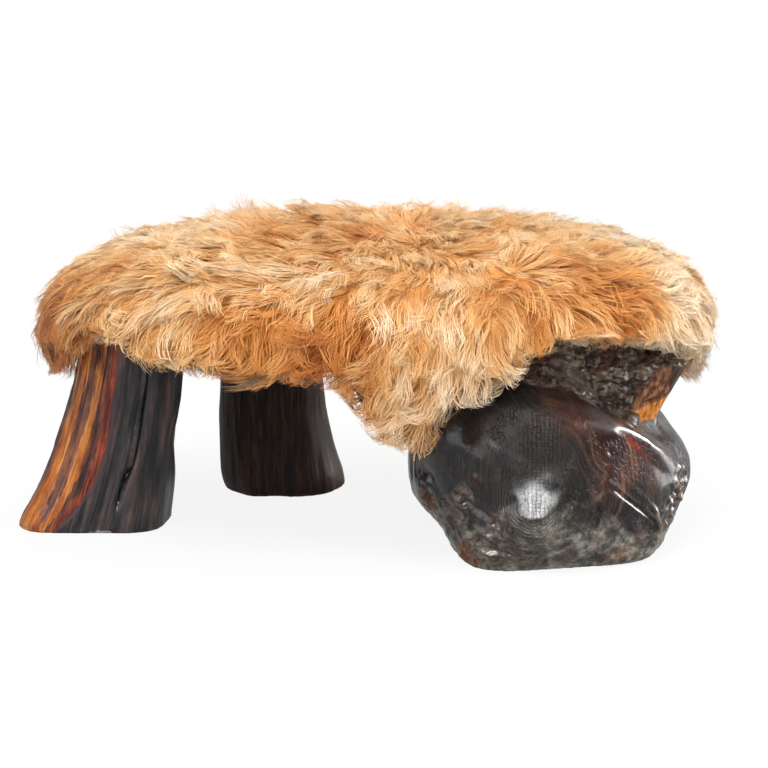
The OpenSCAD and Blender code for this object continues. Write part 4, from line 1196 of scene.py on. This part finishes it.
def domeMesh(name, layer, place):
    # a sphere's grid, opened at the bottom, laid over the seat by place(angle, part) and given its wall
    bm = bmesh.new()
    rows = layer["rows"]
    bmesh.ops.create_uvsphere(bm, u_segments=layer["columns"], v_segments=rows + 1, radius=1)
    bm.verts.ensure_lookup_table()
    pole = min(bm.verts, key=lambda v: v.co.z)
    bmesh.ops.delete(bm, geom=[pole], context="VERTS")
    unit = np.array([v.co[:] for v in bm.verts])
    angle = np.degrees(np.arctan2(unit[:, 1], unit[:, 0]))
    row = np.degrees(np.arccos(np.clip(unit[:, 2], -1, 1))) * (rows + 1) / 180 / rows
    top = seat["domeRows"]
    part = np.where(row < top, row / top, 1 + (row - top) / (1 - top))
    for vertex, point in zip(bm.verts, place(angle, np.clip(part, 0, 2))):
        vertex.co = point
    bmesh.ops.recalc_face_normals(bm, faces=bm.faces)
    bmesh.ops.solidify(bm, geom=bm.faces[:], thickness=layer["thickness"])
    bmesh.ops.recalc_face_normals(bm, faces=bm.faces)
    piece = finishMesh(bm, name)
    shadeSmooth(piece.data)
    return piece


def makeFoamPad():
    bm = bmesh.new()
    bm.from_mesh(nodes["foam_pad"].data)
    bmesh.ops.remove_doubles(bm, verts=bm.verts, dist=1e-5)
    piece = finishMesh(bm, "foamPad")
    material, tree, shader = newMaterial("openFoam", Roughness=0.9, Specular_IOR_Level=0.2)
    cells = noiseOn(tree, objectPlace(tree), 700.0, 3, 0.6)
    colour = rampOn(tree, cells, [(0.3, (0.62, 0.52, 0.30)), (0.7, (0.86, 0.78, 0.55))])
    finishLook(tree, shader, colour, bumpOn(tree, cells, 0.6, 0.001))
    piece.data.materials.append(material)
    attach(piece, "root")
    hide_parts("foam_pad")
    return piece


muslinCover = {
    "columns": 120,
    "rows": 40,
    "thickness": 0.0012,
    "over": 0.0016,  # how far it lies off the pad
    "edge": 0.290,
    "weave": 260.0,
    "gapColour": (0.56, 0.50, 0.38),
    "threadColour": (0.80, 0.74, 0.60),
}


def makeMuslin():
    def place(angle, part):
        return layerPoint(angle, part, muslinCover["over"], np.full(len(angle), muslinCover["edge"]))
    piece = domeMesh("muslinCover", muslinCover, place)
    material, tree, shader = newMaterial("plainMuslin", Roughness=0.85, Specular_IOR_Level=0.2)
    values = {"Vector": objectPlace(tree), "Scale": muslinCover["weave"], "Distortion": 0.6}
    warp, weft = (addNode(tree, "ShaderNodeTexWave", values, bands_direction=axis) for axis in "XY")
    weave = times(tree, warp.outputs["Fac"], weft.outputs["Fac"])
    colour = rampOn(tree, weave, [(0.0, muslinCover["gapColour"]), (1.0, muslinCover["threadColour"])])
    finishLook(tree, shader, colour, bumpOn(tree, weave, 0.3, 0.0005))
    piece.data.materials.append(material)
    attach(piece, "root")
    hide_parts("muslin_cover")
    return piece


hideSkin = {
    "columns": 180,
    "rows": 48,
    "thickness": 0.003,
    "over": 0.005,  # how far it lies off the pad
    "fringe": 0.012,  # its edge lies this far above the wool's hem
    "highestEdge": 0.293,
    "cutEdge": [(0.003, 17, 0), (0.002, 41, 60)],  # waves of the edge: size, count, phase in degrees
    "dull": (0.56, 0.42, 0.27),
    "clear": (0.70, 0.57, 0.41),
    "grainColour": (0.80, 0.70, 0.56),
}


def makeHide():
    def place(angle, part):
        edge = hemAt(angle) + hideSkin["fringe"] + wavesAt(angle, "leatherWaves")
        edge += wobbleAt(angle, hideSkin["cutEdge"])
        return layerPoint(angle, part, hideSkin["over"], np.minimum(edge, hideSkin["highestEdge"]))
    piece = domeMesh("hideSkin", hideSkin, place)
    material, tree, shader = newMaterial("tannedSkin", Roughness=0.72, Specular_IOR_Level=0.3)
    place = objectPlace(tree)
    grain = noiseOn(tree, place, 260.0, 5, 0.6)
    cloud = rangeOn(tree, noiseOn(tree, place, 14.0, 3), 0.35, 0.65)
    colour = mixColours(tree, cloud, hideSkin["dull"], hideSkin["clear"])
    colour = mixColours(tree, rangeOn(tree, grain, 0.5, 0.8, 0.0, 0.5), colour, hideSkin["grainColour"])
    finishLook(tree, shader, colour, bumpOn(tree, grain, 0.4, 0.0008))
    piece.data.materials.append(material)
    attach(piece, "root")
    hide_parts("hide")
    return piece


# Fleece: dense under-wool with long wavy locks over it

fleece = {
    "seed": 8,
    "paintedGlow": 0.04,  # a painted glow in the hair's own colour, standing in for the light that the wool lets through
    "roots": 0.0054,  # how far the roots lie off the pad, on the leather
    "rootHem": (0.012, 0.294),  # how far above its hem the wool's lowest roots lie, and their greatest height
    "underWool": {"columns": 200, "rows": 60, "thickness": 0.006},
    "wispOwn": {"bend": 0.006, "wave": 0.0012, "phase": 0.6, "pitch": 0.12, "overrun": 0.002},
    "strands": 54000,
    "locks": 1900,
    "wisps": 14000,
    "width": 0.00039,  # radius of a strand at its thickest
    "length": 0.037,
    "rings": 6,
    "taper": [0.85, 1.0, 1.0, 0.85, 0.6, 0.0],
    "pieces": 9,
    "softness": 0.75,  # how much a strand is lit as the surface under it is
    "under": 0.64,  # share of the pile's depth that the under-wool fills
    "tip": 0.93,  # share that the locks' tips reach
    "turn": (0.55, 0.32, 0.18),  # spread in direction of locks, wisps and strands, in radians
    "height": 0.11,  # spread of the locks' height, in shares of the pile
    "curl": 0.0046,
    "gather": (0.62, 0.52),  # how far wisps lean on their lock, and strands on their wisp
    "cover": 0.13,  # how far the lowest wool lies over the under-wool, in shares of the pile
    "loose": 0.02,  # share of wisps that stand off the fleece
    # root colours are darker than tip colours, partly the wool's own colour and partly painted shade deep in
    # the pile
    "rootColours": [(0.0, (0.80, 0.46, 0.20)), (0.35, (0.66, 0.28, 0.075)), (0.7, (0.50, 0.165, 0.030)),
                    (1.0, (0.30, 0.080, 0.013))],
    "tipColours": [(0.0, (0.98, 0.82, 0.60)), (0.35, (0.93, 0.60, 0.29)), (0.7, (0.80, 0.36, 0.095)),
                   (1.0, (0.54, 0.17, 0.035))],
    # darker and paler places, partly the wool's own tone and partly painted light and shade, as at the darker
    # left end and the paler right end: place, half width, change of tone
    "patches": [
        ((-0.02, -0.03, 0.40), 0.10, 0.24), ((0.27, -0.05, 0.385), 0.10, 0.10),
        ((-0.29, -0.08, 0.36), 0.05, 0.12),
        ((-0.40, -0.12, 0.29), 0.085, 0.75), ((-0.24, -0.22, 0.31), 0.028, 0.50),
        ((-0.165, -0.23, 0.32), 0.030, 0.46),
        ((-0.13, 0.00, 0.40), 0.060, 0.30), ((-0.01, -0.24, 0.32), 0.036, 0.48),
        ((-0.05, -0.25, 0.27), 0.055, 0.62),
        ((-0.15, -0.24, 0.26), 0.050, 0.24), ((-0.10, -0.235, 0.33), 0.030, 0.22),
        ((0.19, -0.235, 0.29), 0.034, 0.34), ((0.285, -0.16, 0.35), 0.055, 0.46),
        ((0.32, -0.20, 0.30), 0.035, 0.30),
        ((-0.236, 0.00, 0.385), 0.075, -0.46), ((-0.29, -0.18, 0.335), 0.060, -0.24),
        ((-0.235, -0.186, 0.347), 0.022, -0.40),
        ((-0.07, -0.16, 0.38), 0.045, -0.22), ((0.13, -0.244, 0.29), 0.055, -0.38),
        ((0.396, -0.126, 0.311), 0.080, -0.60),
        ((0.02, -0.25, 0.20), 0.050, -0.02), ((0.25, -0.22, 0.295), 0.022, -0.28),
        ((0.30, 0.02, 0.385), 0.090, -0.34),
        ((0.42, 0.02, 0.26), 0.070, -0.25), ((-0.28, -0.20, 0.27), 0.045, 0.18),
    ],
    "tone": 0.44,
    # the way the wool is swept: place, half width, direction, strength
    "sweeps": [
        ((-0.39, -0.10, 0.30), 0.08, (-0.4, -0.3, -0.9), 1.0),
        ((-0.29, -0.17, 0.34), 0.08, (-0.8, -0.3, -0.6), 1.3),
        ((-0.235, -0.186, 0.35), 0.03, (0.1, -0.4, -0.9), 2.0),
        ((-0.11, -0.17, 0.37), 0.11, (-0.8, -0.3, -0.5), 1.9),
        ((-0.08, -0.24, 0.28), 0.09, (-0.7, -0.2, -0.7), 1.5),
        ((-0.15, 0.02, 0.40), 0.14, (-0.9, -0.2, 0.1), 1.3),
        ((0.05, -0.16, 0.38), 0.08, (-0.85, -0.3, -0.4), 1.6),
        ((0.13, -0.20, 0.36), 0.07, (-0.35, -0.45, -0.8), 1.8),
        ((0.20, 0.00, 0.40), 0.14, (0.9, -0.2, 0.0), 1.3),
        ((0.30, -0.17, 0.34), 0.06, (0.6, -0.3, -0.6), 0.8),
        ((0.40, -0.08, 0.31), 0.09, (0.9, 0.0, -0.3), 1.0),
        ((0.11, -0.245, 0.30), 0.04, (-0.8, -0.2, -0.4), 1.5),
        ((0.17, -0.24, 0.27), 0.04, (0.5, -0.2, -0.8), 1.2),
        ((0.02, -0.25, 0.20), 0.06, (-0.5, -0.1, -0.85), 1.0),
        ((0.25, -0.22, 0.29), 0.04, (0.1, -0.1, -1.0), 1.2),
        ((0.0, 0.15, 0.39), 0.12, (0.1, 0.9, 0.0), 0.6),
    ],
}


def woolPoint(angle, part, share):
    # a surface inside the pile: share 0 is on the leather, 1 on the outside
    above, highest = fleece["rootHem"]
    inner = layerPoint(angle, part, fleece["roots"], np.minimum(pileHem(angle, "inside") + above, highest))
    outer = pilePoint(angle, part)
    return inner + (outer - inner) * np.asarray(share)[..., None]


def onFleece(spot, share):
    # spot is a place on the flat map of the fleece, as far from its middle as part says
    return woolPoint(np.degrees(np.arctan2(spot[:, 1], spot[:, 0])), np.linalg.norm(spot, axis=1), share)


def underShare(part):
    return np.where(part < 1.6, 1, 1 - 0.7 * step((part - 1.6) / 0.4)) * fleece["under"]


def toneAt(points):
    tone = np.full(len(points), fleece["tone"])
    for place, width, change in fleece["patches"]:
        tone += change * hump(distanceTo(points, place), width)
    return tone + relief(points, [(0.20, 0.070, 51), (0.20, 0.028, 52)])


def makeUnderWool():
    def place(angle, part):
        points = woolPoint(angle, part, underShare(part))
        lumpy = relief(points, [(0.005, 0.034, 61), (0.002, 0.012, 62)]) - 0.002
        outward = points - np.array((seat["middle"], 0, 0.25))
        outward /= np.linalg.norm(outward, axis=1)[:, None]
        return points + outward * lumpy[:, None]
    piece = domeMesh("underWool", fleece["underWool"], place)
    mesh = piece.data
    setAttribute(mesh, "tone", toneAt(readPoints(mesh)))
    material, tree, shader = newMaterial("underWool", Roughness=0.9, Specular_IOR_Level=0.1)
    fuzz = noiseOn(tree, objectPlace(tree), 300.0, 6, 0.7)
    # the under-wool takes mostly the darker root colours: painted shade in the gaps between the locks
    along = rangeOn(tree, fuzz, 0.3, 0.7, 0.1, 0.5)
    palette = useGroup(tree, shared["palette"], {"Tone": attributeOn(tree, "tone"), "Along": along})
    finishLook(tree, shader, palette.outputs[0], bumpOn(tree, fuzz, 0.8, 0.002))
    mesh.materials.append(material)
    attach(piece, "root")
    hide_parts("wool")
    return piece


def surfaceGrid():
    # places to root the strands, with their share of the area
    angle, part = np.meshgrid(np.arange(0.25, 360, 0.5), np.linspace(0.02, 1.995, 160), indexing="ij")
    shape = angle.shape
    a, p = angle.ravel(), part.ravel()
    at = woolPoint(a, p, underShare(p)).reshape(*shape, 3)
    alongAngle = np.gradient(at, axis=0)
    alongPart = np.gradient(at, axis=1)
    normal = np.cross(alongPart, alongAngle)
    size = np.linalg.norm(normal, axis=2)
    normal /= size[..., None]
    down = alongPart / np.linalg.norm(alongPart, axis=2)[..., None]
    return a, p, size.ravel(), normal.reshape(-1, 3), down.reshape(-1, 3)


def scatter(grid, count, rng):
    a, p, size, normal, down = grid
    weight = size * np.where(p > 1.8, 1.35, 1.0)
    pick = rng.choice(len(a), count, p=weight / weight.sum())
    angle = a[pick] + rng.uniform(-0.25, 0.25, count)
    part = np.clip(p[pick] + rng.uniform(-0.0062, 0.0062, count), 0.01, 2)
    around = np.radians(angle)
    spot = part[:, None] * np.stack([np.cos(around), np.sin(around)], 1)
    return {"angle": angle, "part": part, "spot": spot, "root": onFleece(spot, underShare(part)),
            "normal": normal[pick], "down": down[pick]}


def sweepAt(points, normal, down, part):
    # from the middle of the seat the wool parts to both ends, and further out it falls to the hem
    parting = np.tanh((points[:, 0] - 0.02) / 0.09)
    flow = down * (0.8 * step((part - 0.45) / 0.5))[:, None]
    flow[:, 0] += 0.7 * parting * (1 - step((part - 0.3) / 0.6))
    for place, width, direction, strength in fleece["sweeps"]:
        flow = flow + (strength * hump(distanceTo(points, place), width))[:, None] * np.array(direction)
    swirl = np.stack([softNoise(points, 0.055, seed) for seed in (71, 72, 73)], 1)
    flow = flow + 0.85 * swirl
    flow -= (flow * normal).sum(1)[:, None] * normal
    return flow / np.linalg.norm(flow, axis=1)[:, None]


def nearest(points, centres):
    tree = KDTree(len(centres))
    for i, centre in enumerate(centres):
        tree.insert(centre, i)
    tree.balance()
    return np.array([tree.find(point)[1] for point in points])


def aboveHem(line):
    # what would hang past the hem is drawn up to it
    angle = np.degrees(np.arctan2(line[..., 1], line[..., 0] - seat["middle"]))
    lowest = pileHem(angle) - 0.003
    below = np.maximum(lowest - line[..., 2], 0)
    line[..., 2] += below - 0.005 * (1 - np.exp(-below / 0.005))
    return line


def combLines(rooted, turn, length, high, curl):
    # lines that follow the fleece from their roots and rise to a share of the pile's depth
    spot, part = rooted["spot"], rooted["part"]
    normal = rooted["normal"]
    flow = sweepAt(rooted["root"], normal, rooted["down"], part)
    flow = flow * np.cos(turn)[:, None] + np.cross(normal, flow) * np.sin(turn)[:, None]
    # near the hem a line is no longer than the way left to it
    room = (rooted["root"][:, 2] - pileHem(rooted["angle"]) + curl["overrun"]) / np.maximum(-flow[:, 2], 0.3)
    length = np.minimum(length, np.maximum(room, 0.010))
    low = underShare(part)
    small = 1e-3
    east = (onFleece(spot + (small, 0), low) - rooted["root"]) / small
    north = (onFleece(spot + (0, small), low) - rooted["root"]) / small
    ee, en, nn = (east * east).sum(1), (east * north).sum(1), (north * north).sum(1)
    ef, nf = (east * flow).sum(1), (north * flow).sum(1)
    heading = np.stack([nn * ef - en * nf, ee * nf - en * ef], 1)
    heading /= np.linalg.norm(heading, axis=1)[:, None]
    rings = fleece["rings"]
    line = np.empty((len(spot), rings, 3))
    outward = np.empty_like(line)
    for k, u in enumerate(np.linspace(0, 1, rings)):
        share = low + (high - low) * (1 - (1 - u) ** 2) - 0.06 * (1 - u) ** 2
        line[:, k] = onFleece(spot, share)
        outward[:, k] = onFleece(spot, share + 0.2) - line[:, k]
        pace = np.linalg.norm(onFleece(spot + heading * small, share) - line[:, k], axis=1) / small
        spot = spot + heading * (length / (rings - 1) / np.maximum(pace, 0.04))[:, None]
    outward /= np.linalg.norm(outward, axis=2)[..., None]
    along = np.gradient(line, axis=1)
    side = np.cross(outward, along)
    side /= np.linalg.norm(side, axis=2)[..., None] + 1e-9
    u = np.linspace(0, 1, rings)[None]
    short = (length / fleece["length"]).clip(0, 1)[:, None]
    swing = curl["phase"][:, None] + 6.28 * curl["pitch"][:, None] * u
    sway = curl["bend"][:, None] * u ** 2 + curl["wave"][:, None] * np.sin(swing) * u
    ripple = 0.7 * curl["wave"][:, None] * np.cos(swing) * u
    line = line + side * (sway * short)[..., None] + outward * (ripple * short)[..., None]
    return aboveHem(line), short


def combStrands():
    rng = np.random.default_rng(fleece["seed"])
    grid = surfaceGrid()
    count, wisps, locks = fleece["strands"], fleece["wisps"], fleece["locks"]
    lock, wisp, strand = scatter(grid, locks, rng), scatter(grid, wisps, rng), scatter(grid, count, rng)
    wispLock = nearest(wisp["root"], lock["root"])
    strandWisp = nearest(strand["root"], wisp["root"])
    hanging = step((lock["part"] - 1.5) / 0.45)
    turn = rng.normal(0, fleece["turn"][0], locks)
    height = rng.normal(0, 1, locks)
    high = fleece["tip"] + fleece["height"] * height - 0.16 * hanging * rng.uniform(0, 2, locks)
    high += 0.10 * softNoise(lock["root"], 0.045, 77)
    high -= 0.20 * step((np.abs(lock["root"][:, 0] - seat["middle"]) - 0.30) / 0.10)
    high = np.maximum(high, underShare(lock["part"]) + fleece["cover"])
    length = fleece["length"] * (1 + 0.25 * rng.normal(0, 1, locks)).clip(0.6, 1.5)
    curl = {"bend": rng.normal(0, 0.011, locks), "wave": fleece["curl"] * rng.uniform(0.3, 1.5, locks),
            "phase": rng.uniform(0, 6.28, locks), "pitch": rng.uniform(0.8, 1.6, locks),
            "overrun": 0.003 + 0.004 * rng.normal(0, 1, locks)}
    lockLine, _ = combLines(lock, turn, length, high, curl)

    # each wisp has the traits of its lock with a little of its own, and each strand those of its wisp
    loose = rng.uniform(0, 1, wisps) < fleece["loose"]
    turn = turn[wispLock] + rng.normal(0, fleece["turn"][1], wisps) * np.where(loose, 1.6, 1)
    high = high[wispLock] + 0.07 * rng.normal(0, 1, wisps) + np.where(loose, 0.22, 0)
    high = np.maximum(high, underShare(wisp["part"]) + fleece["cover"])
    length = length[wispLock] * (1 + 0.14 * rng.normal(0, 1, wisps)).clip(0.6, 1.4)
    own = fleece["wispOwn"]
    curl = {key: value[wispLock] + own[key] * rng.normal(0, 1, wisps) for key, value in curl.items()}
    wispLine, short = combLines(wisp, turn, length, high, curl)
    u = np.linspace(0, 1, fleece["rings"])
    tight = np.where(loose, 0.2, 1) * (1 - 0.4 * hanging[wispLock])
    lean = fleece["gather"][0] * tight[:, None] * short * step(u)
    wispLine += (lockLine[wispLock] - wispLine) * lean[..., None]

    turn = turn[strandWisp] + rng.normal(0, fleece["turn"][2], count)
    high = high[strandWisp] + 0.04 * rng.normal(0, 1, count)
    high = np.maximum(high, underShare(strand["part"]) + fleece["cover"])
    length = length[strandWisp] * (1 + 0.08 * rng.normal(0, 1, count)).clip(0.7, 1.3)
    curl = {key: value[strandWisp] for key, value in curl.items()}
    line, short = combLines(strand, turn, length, high, curl)
    fluffy = 1 - 0.35 * hanging[wispLock[strandWisp]]
    lean = fleece["gather"][1] * fluffy[:, None] * (0.35 + 0.65 * short) * step(u / 0.8)
    line += (wispLine[strandWisp] - line) * lean[..., None]
    line += rng.normal(0, 0.0011, (count, 3))[:, None] * u[None, :, None] ** 1.5
    # lower locks are painted a darker tone and higher ones paler: painted shade between the locks
    tone = toneAt(strand["root"]) + (0.09 * rng.normal(0, 1, locks) - 0.09 * height)[wispLock[strandWisp]]
    tone += 0.07 * rng.normal(0, 1, wisps)[strandWisp] + 0.04 * rng.normal(0, 1, count)
    return line, strand["normal"], tone.clip(0.01, 0.98), strand["angle"]


def strandTemplate():
    # one closed, tapering strand: a three-sided cone with rings along it
    bm = bmesh.new()
    bmesh.ops.create_cone(bm, cap_ends=True, cap_tris=False, segments=3, radius1=1, radius2=0, depth=1)
    last = fleece["rings"] - 1
    for k in range(1, last):
        parts = bm.verts[:] + bm.edges[:] + bm.faces[:]
        bmesh.ops.bisect_plane(bm, geom=parts, plane_co=(0, 0, k / last - 0.5), plane_no=(0, 0, 1))
    bmesh.ops.triangulate(bm, faces=bm.faces[:])
    bm.verts.ensure_lookup_table()
    points = np.array([v.co[:] for v in bm.verts])
    faces = np.array([[v.index for v in f.verts] for f in bm.faces])
    bm.free()
    ring = np.round((points[:, 2] + 0.5) * last).astype(int)
    turn = np.arctan2(points[:, 1], points[:, 0])
    return ring, turn, faces


def makeStrands():
    line, normal, tone, angle = combStrands()
    ring, turn, faces = strandTemplate()
    rings = fleece["rings"]
    along = np.gradient(line, axis=1)
    along /= np.linalg.norm(along, axis=2)[..., None] + 1e-9
    sideways = np.cross(along, normal[:, None])
    sideways /= np.linalg.norm(sideways, axis=2)[..., None] + 1e-9
    upward = np.cross(along, sideways)
    radius = fleece["width"] * np.array(fleece["taper"])
    material, tree, shader = newMaterial("fleeceHair", Roughness=0.55, Specular_IOR_Level=0.25,
                                         Sheen_Weight=0.2, Emission_Strength=fleece["paintedGlow"])
    toneIn, alongIn, _ = partsOf(tree, addNode(tree, "ShaderNodeUVMap", uv_map="OFBake").outputs[0])
    hair = useGroup(tree, shared["palette"], {"Tone": toneIn, "Along": alongIn}).outputs[0]
    tree.links.new(hair, shader.inputs["Base Color"])
    # the hair glows faintly in its own colour: a painted glow
    tree.links.new(hair, shader.inputs["Emission Color"])
    order = np.argsort(angle % 360, kind="stable")
    pieces = []
    for number, chosen in enumerate(np.array_split(order, fleece["pieces"]), 1):
        centre = line[chosen][:, ring]
        offset = (sideways[chosen][:, ring] * np.cos(turn)[None, :, None]
                  + upward[chosen][:, ring] * np.sin(turn)[None, :, None]) * radius[ring][None, :, None]
        points = (centre + offset).reshape(-1, 3)
        starts = np.arange(len(chosen)) * len(ring)
        corners = (faces[None] + starts[:, None, None]).reshape(-1)
        mesh = bpy.data.meshes.new(f"woolLocks{number}")
        mesh.vertices.add(len(points))
        mesh.vertices.foreach_set("co", points.astype(np.float32).ravel())
        mesh.loops.add(len(corners))
        mesh.loops.foreach_set("vertex_index", corners.astype(np.int32))
        mesh.polygons.add(len(corners) // 3)
        mesh.polygons.foreach_set("loop_start", np.arange(0, len(corners), 3, dtype=np.int32))
        mesh.update(calc_edges=True)
        layer = mesh.uv_layers.new(name="OFBake")
        u = tone[chosen][:, None] + 0.006 * np.cos(turn)[None]
        v = np.broadcast_to(0.02 + 0.96 * ring[None] / (rings - 1), u.shape)
        uvs = np.stack([u, v], -1).reshape(-1, 2)[corners]
        layer.data.foreach_set("uv", uvs.astype(np.float32).ravel())
        shadeSmooth(mesh)
        # wool lets light through, so each strand is shaded partly as the surface that it lies on
        own, under = offset / radius.max(), normal[chosen][:, None]
        facing = (own + (under - own) * fleece["softness"]).reshape(-1, 3)
        facing /= np.linalg.norm(facing, axis=1)[:, None]
        mesh.normals_split_custom_set_from_vertices(facing)
        mesh.materials.append(material)
        piece = bpy.data.objects.new(mesh.name, mesh)
        collection.objects.link(piece)
        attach(piece, "root")
        pieces.append(piece)
    return pieces


# CAD pieces that keep their shape and get a finish

plainFinishes = {
    "pine": [(0.3, (0.30, 0.17, 0.075)), (0.6, (0.55, 0.36, 0.18)), (0.8, (0.68, 0.50, 0.29))],
    "oak": [(0.3, (0.33, 0.20, 0.09)), (0.7, (0.62, 0.44, 0.24))],
    "zinc": [(0.3, (0.50, 0.50, 0.52)), (0.7, (0.70, 0.70, 0.72))],
    "brass": [(0.3, (0.36, 0.22, 0.08)), (0.7, (0.62, 0.44, 0.20))],
}


def plainWood(name, wood, turn, streaks, bump, **look):
    # turn lays the grain along the piece, in degrees; streaks are across, along and warp
    material, tree, shader = newMaterial(name, **look)
    place = objectPlace(tree)
    if turn:
        mapping = {"Vector": place, "Rotation": (0, math.radians(turn), 0)}
        place = addNode(tree, "ShaderNodeMapping", mapping).outputs[0]
    _, fine, fibre = streaksOn(tree, place, *streaks)
    finishLook(tree, shader, rampOn(tree, fine, plainFinishes[wood]), bumpOn(tree, fibre, *bump))
    return material


def plainMetal(name, metal, scale, **look):
    material, tree, shader = newMaterial(name, Metallic=1.0, **look)
    spangle = noiseOn(tree, objectPlace(tree), scale, 3)
    tree.links.new(rampOn(tree, spangle, plainFinishes[metal]), shader.inputs["Base Color"])
    return material, tree, shader, spangle


def dressCadPieces():
    pine = plainWood("sawnPlank", "pine", 90, (90.0, 4.0, 0.8), (0.4, 0.0008), Roughness=0.75,
                     Specular_IOR_Level=0.3)
    oak = plainWood("wedgeOak", "oak", 0, (240.0, 8.0, 0.3), (0.3, 0.0005), Roughness=0.6,
                    Specular_IOR_Level=0.35)
    brass, *_ = plainMetal("nailBrass", "brass", 300.0, Roughness=0.4)
    zinc, tree, shader, spangle = plainMetal("zincSteel", "zinc", 400.0, Roughness=0.35)
    tree.links.new(rangeOn(tree, spangle, 0.3, 0.7, 0.28, 0.45), shader.inputs["Roughness"])
    finishes = {"seat_plank": pine, "left_wedge": oak, "rear_wedge": oak, "burl_dowels": oak,
                "lag_screws": zinc, "lag_washers": zinc, "upholstery_nails": brass}
    for name, finish in finishes.items():
        mesh = nodes[name].data
        mesh.materials.clear()
        mesh.materials.append(finish)


bpy.context.scene.view_settings.view_transform = "Standard"
makeCamera()
makeLamps()
makeWorld()
makeFloor()
print("camera, lamps and floor are set")
shared = {"streaks": makeStreaks(), "checks": makeChecks(), "crust": makeCrust(), "palette": makePalette()}
makeLeftPost()
makeRearPost()
print("posts carved")
makeRootBurl()
print("burl carved")
makeFoamPad()
makeMuslin()
hide = makeHide()
underWool = makeUnderWool()
locks = makeStrands()
print("fleece combed")
dressCadPieces()
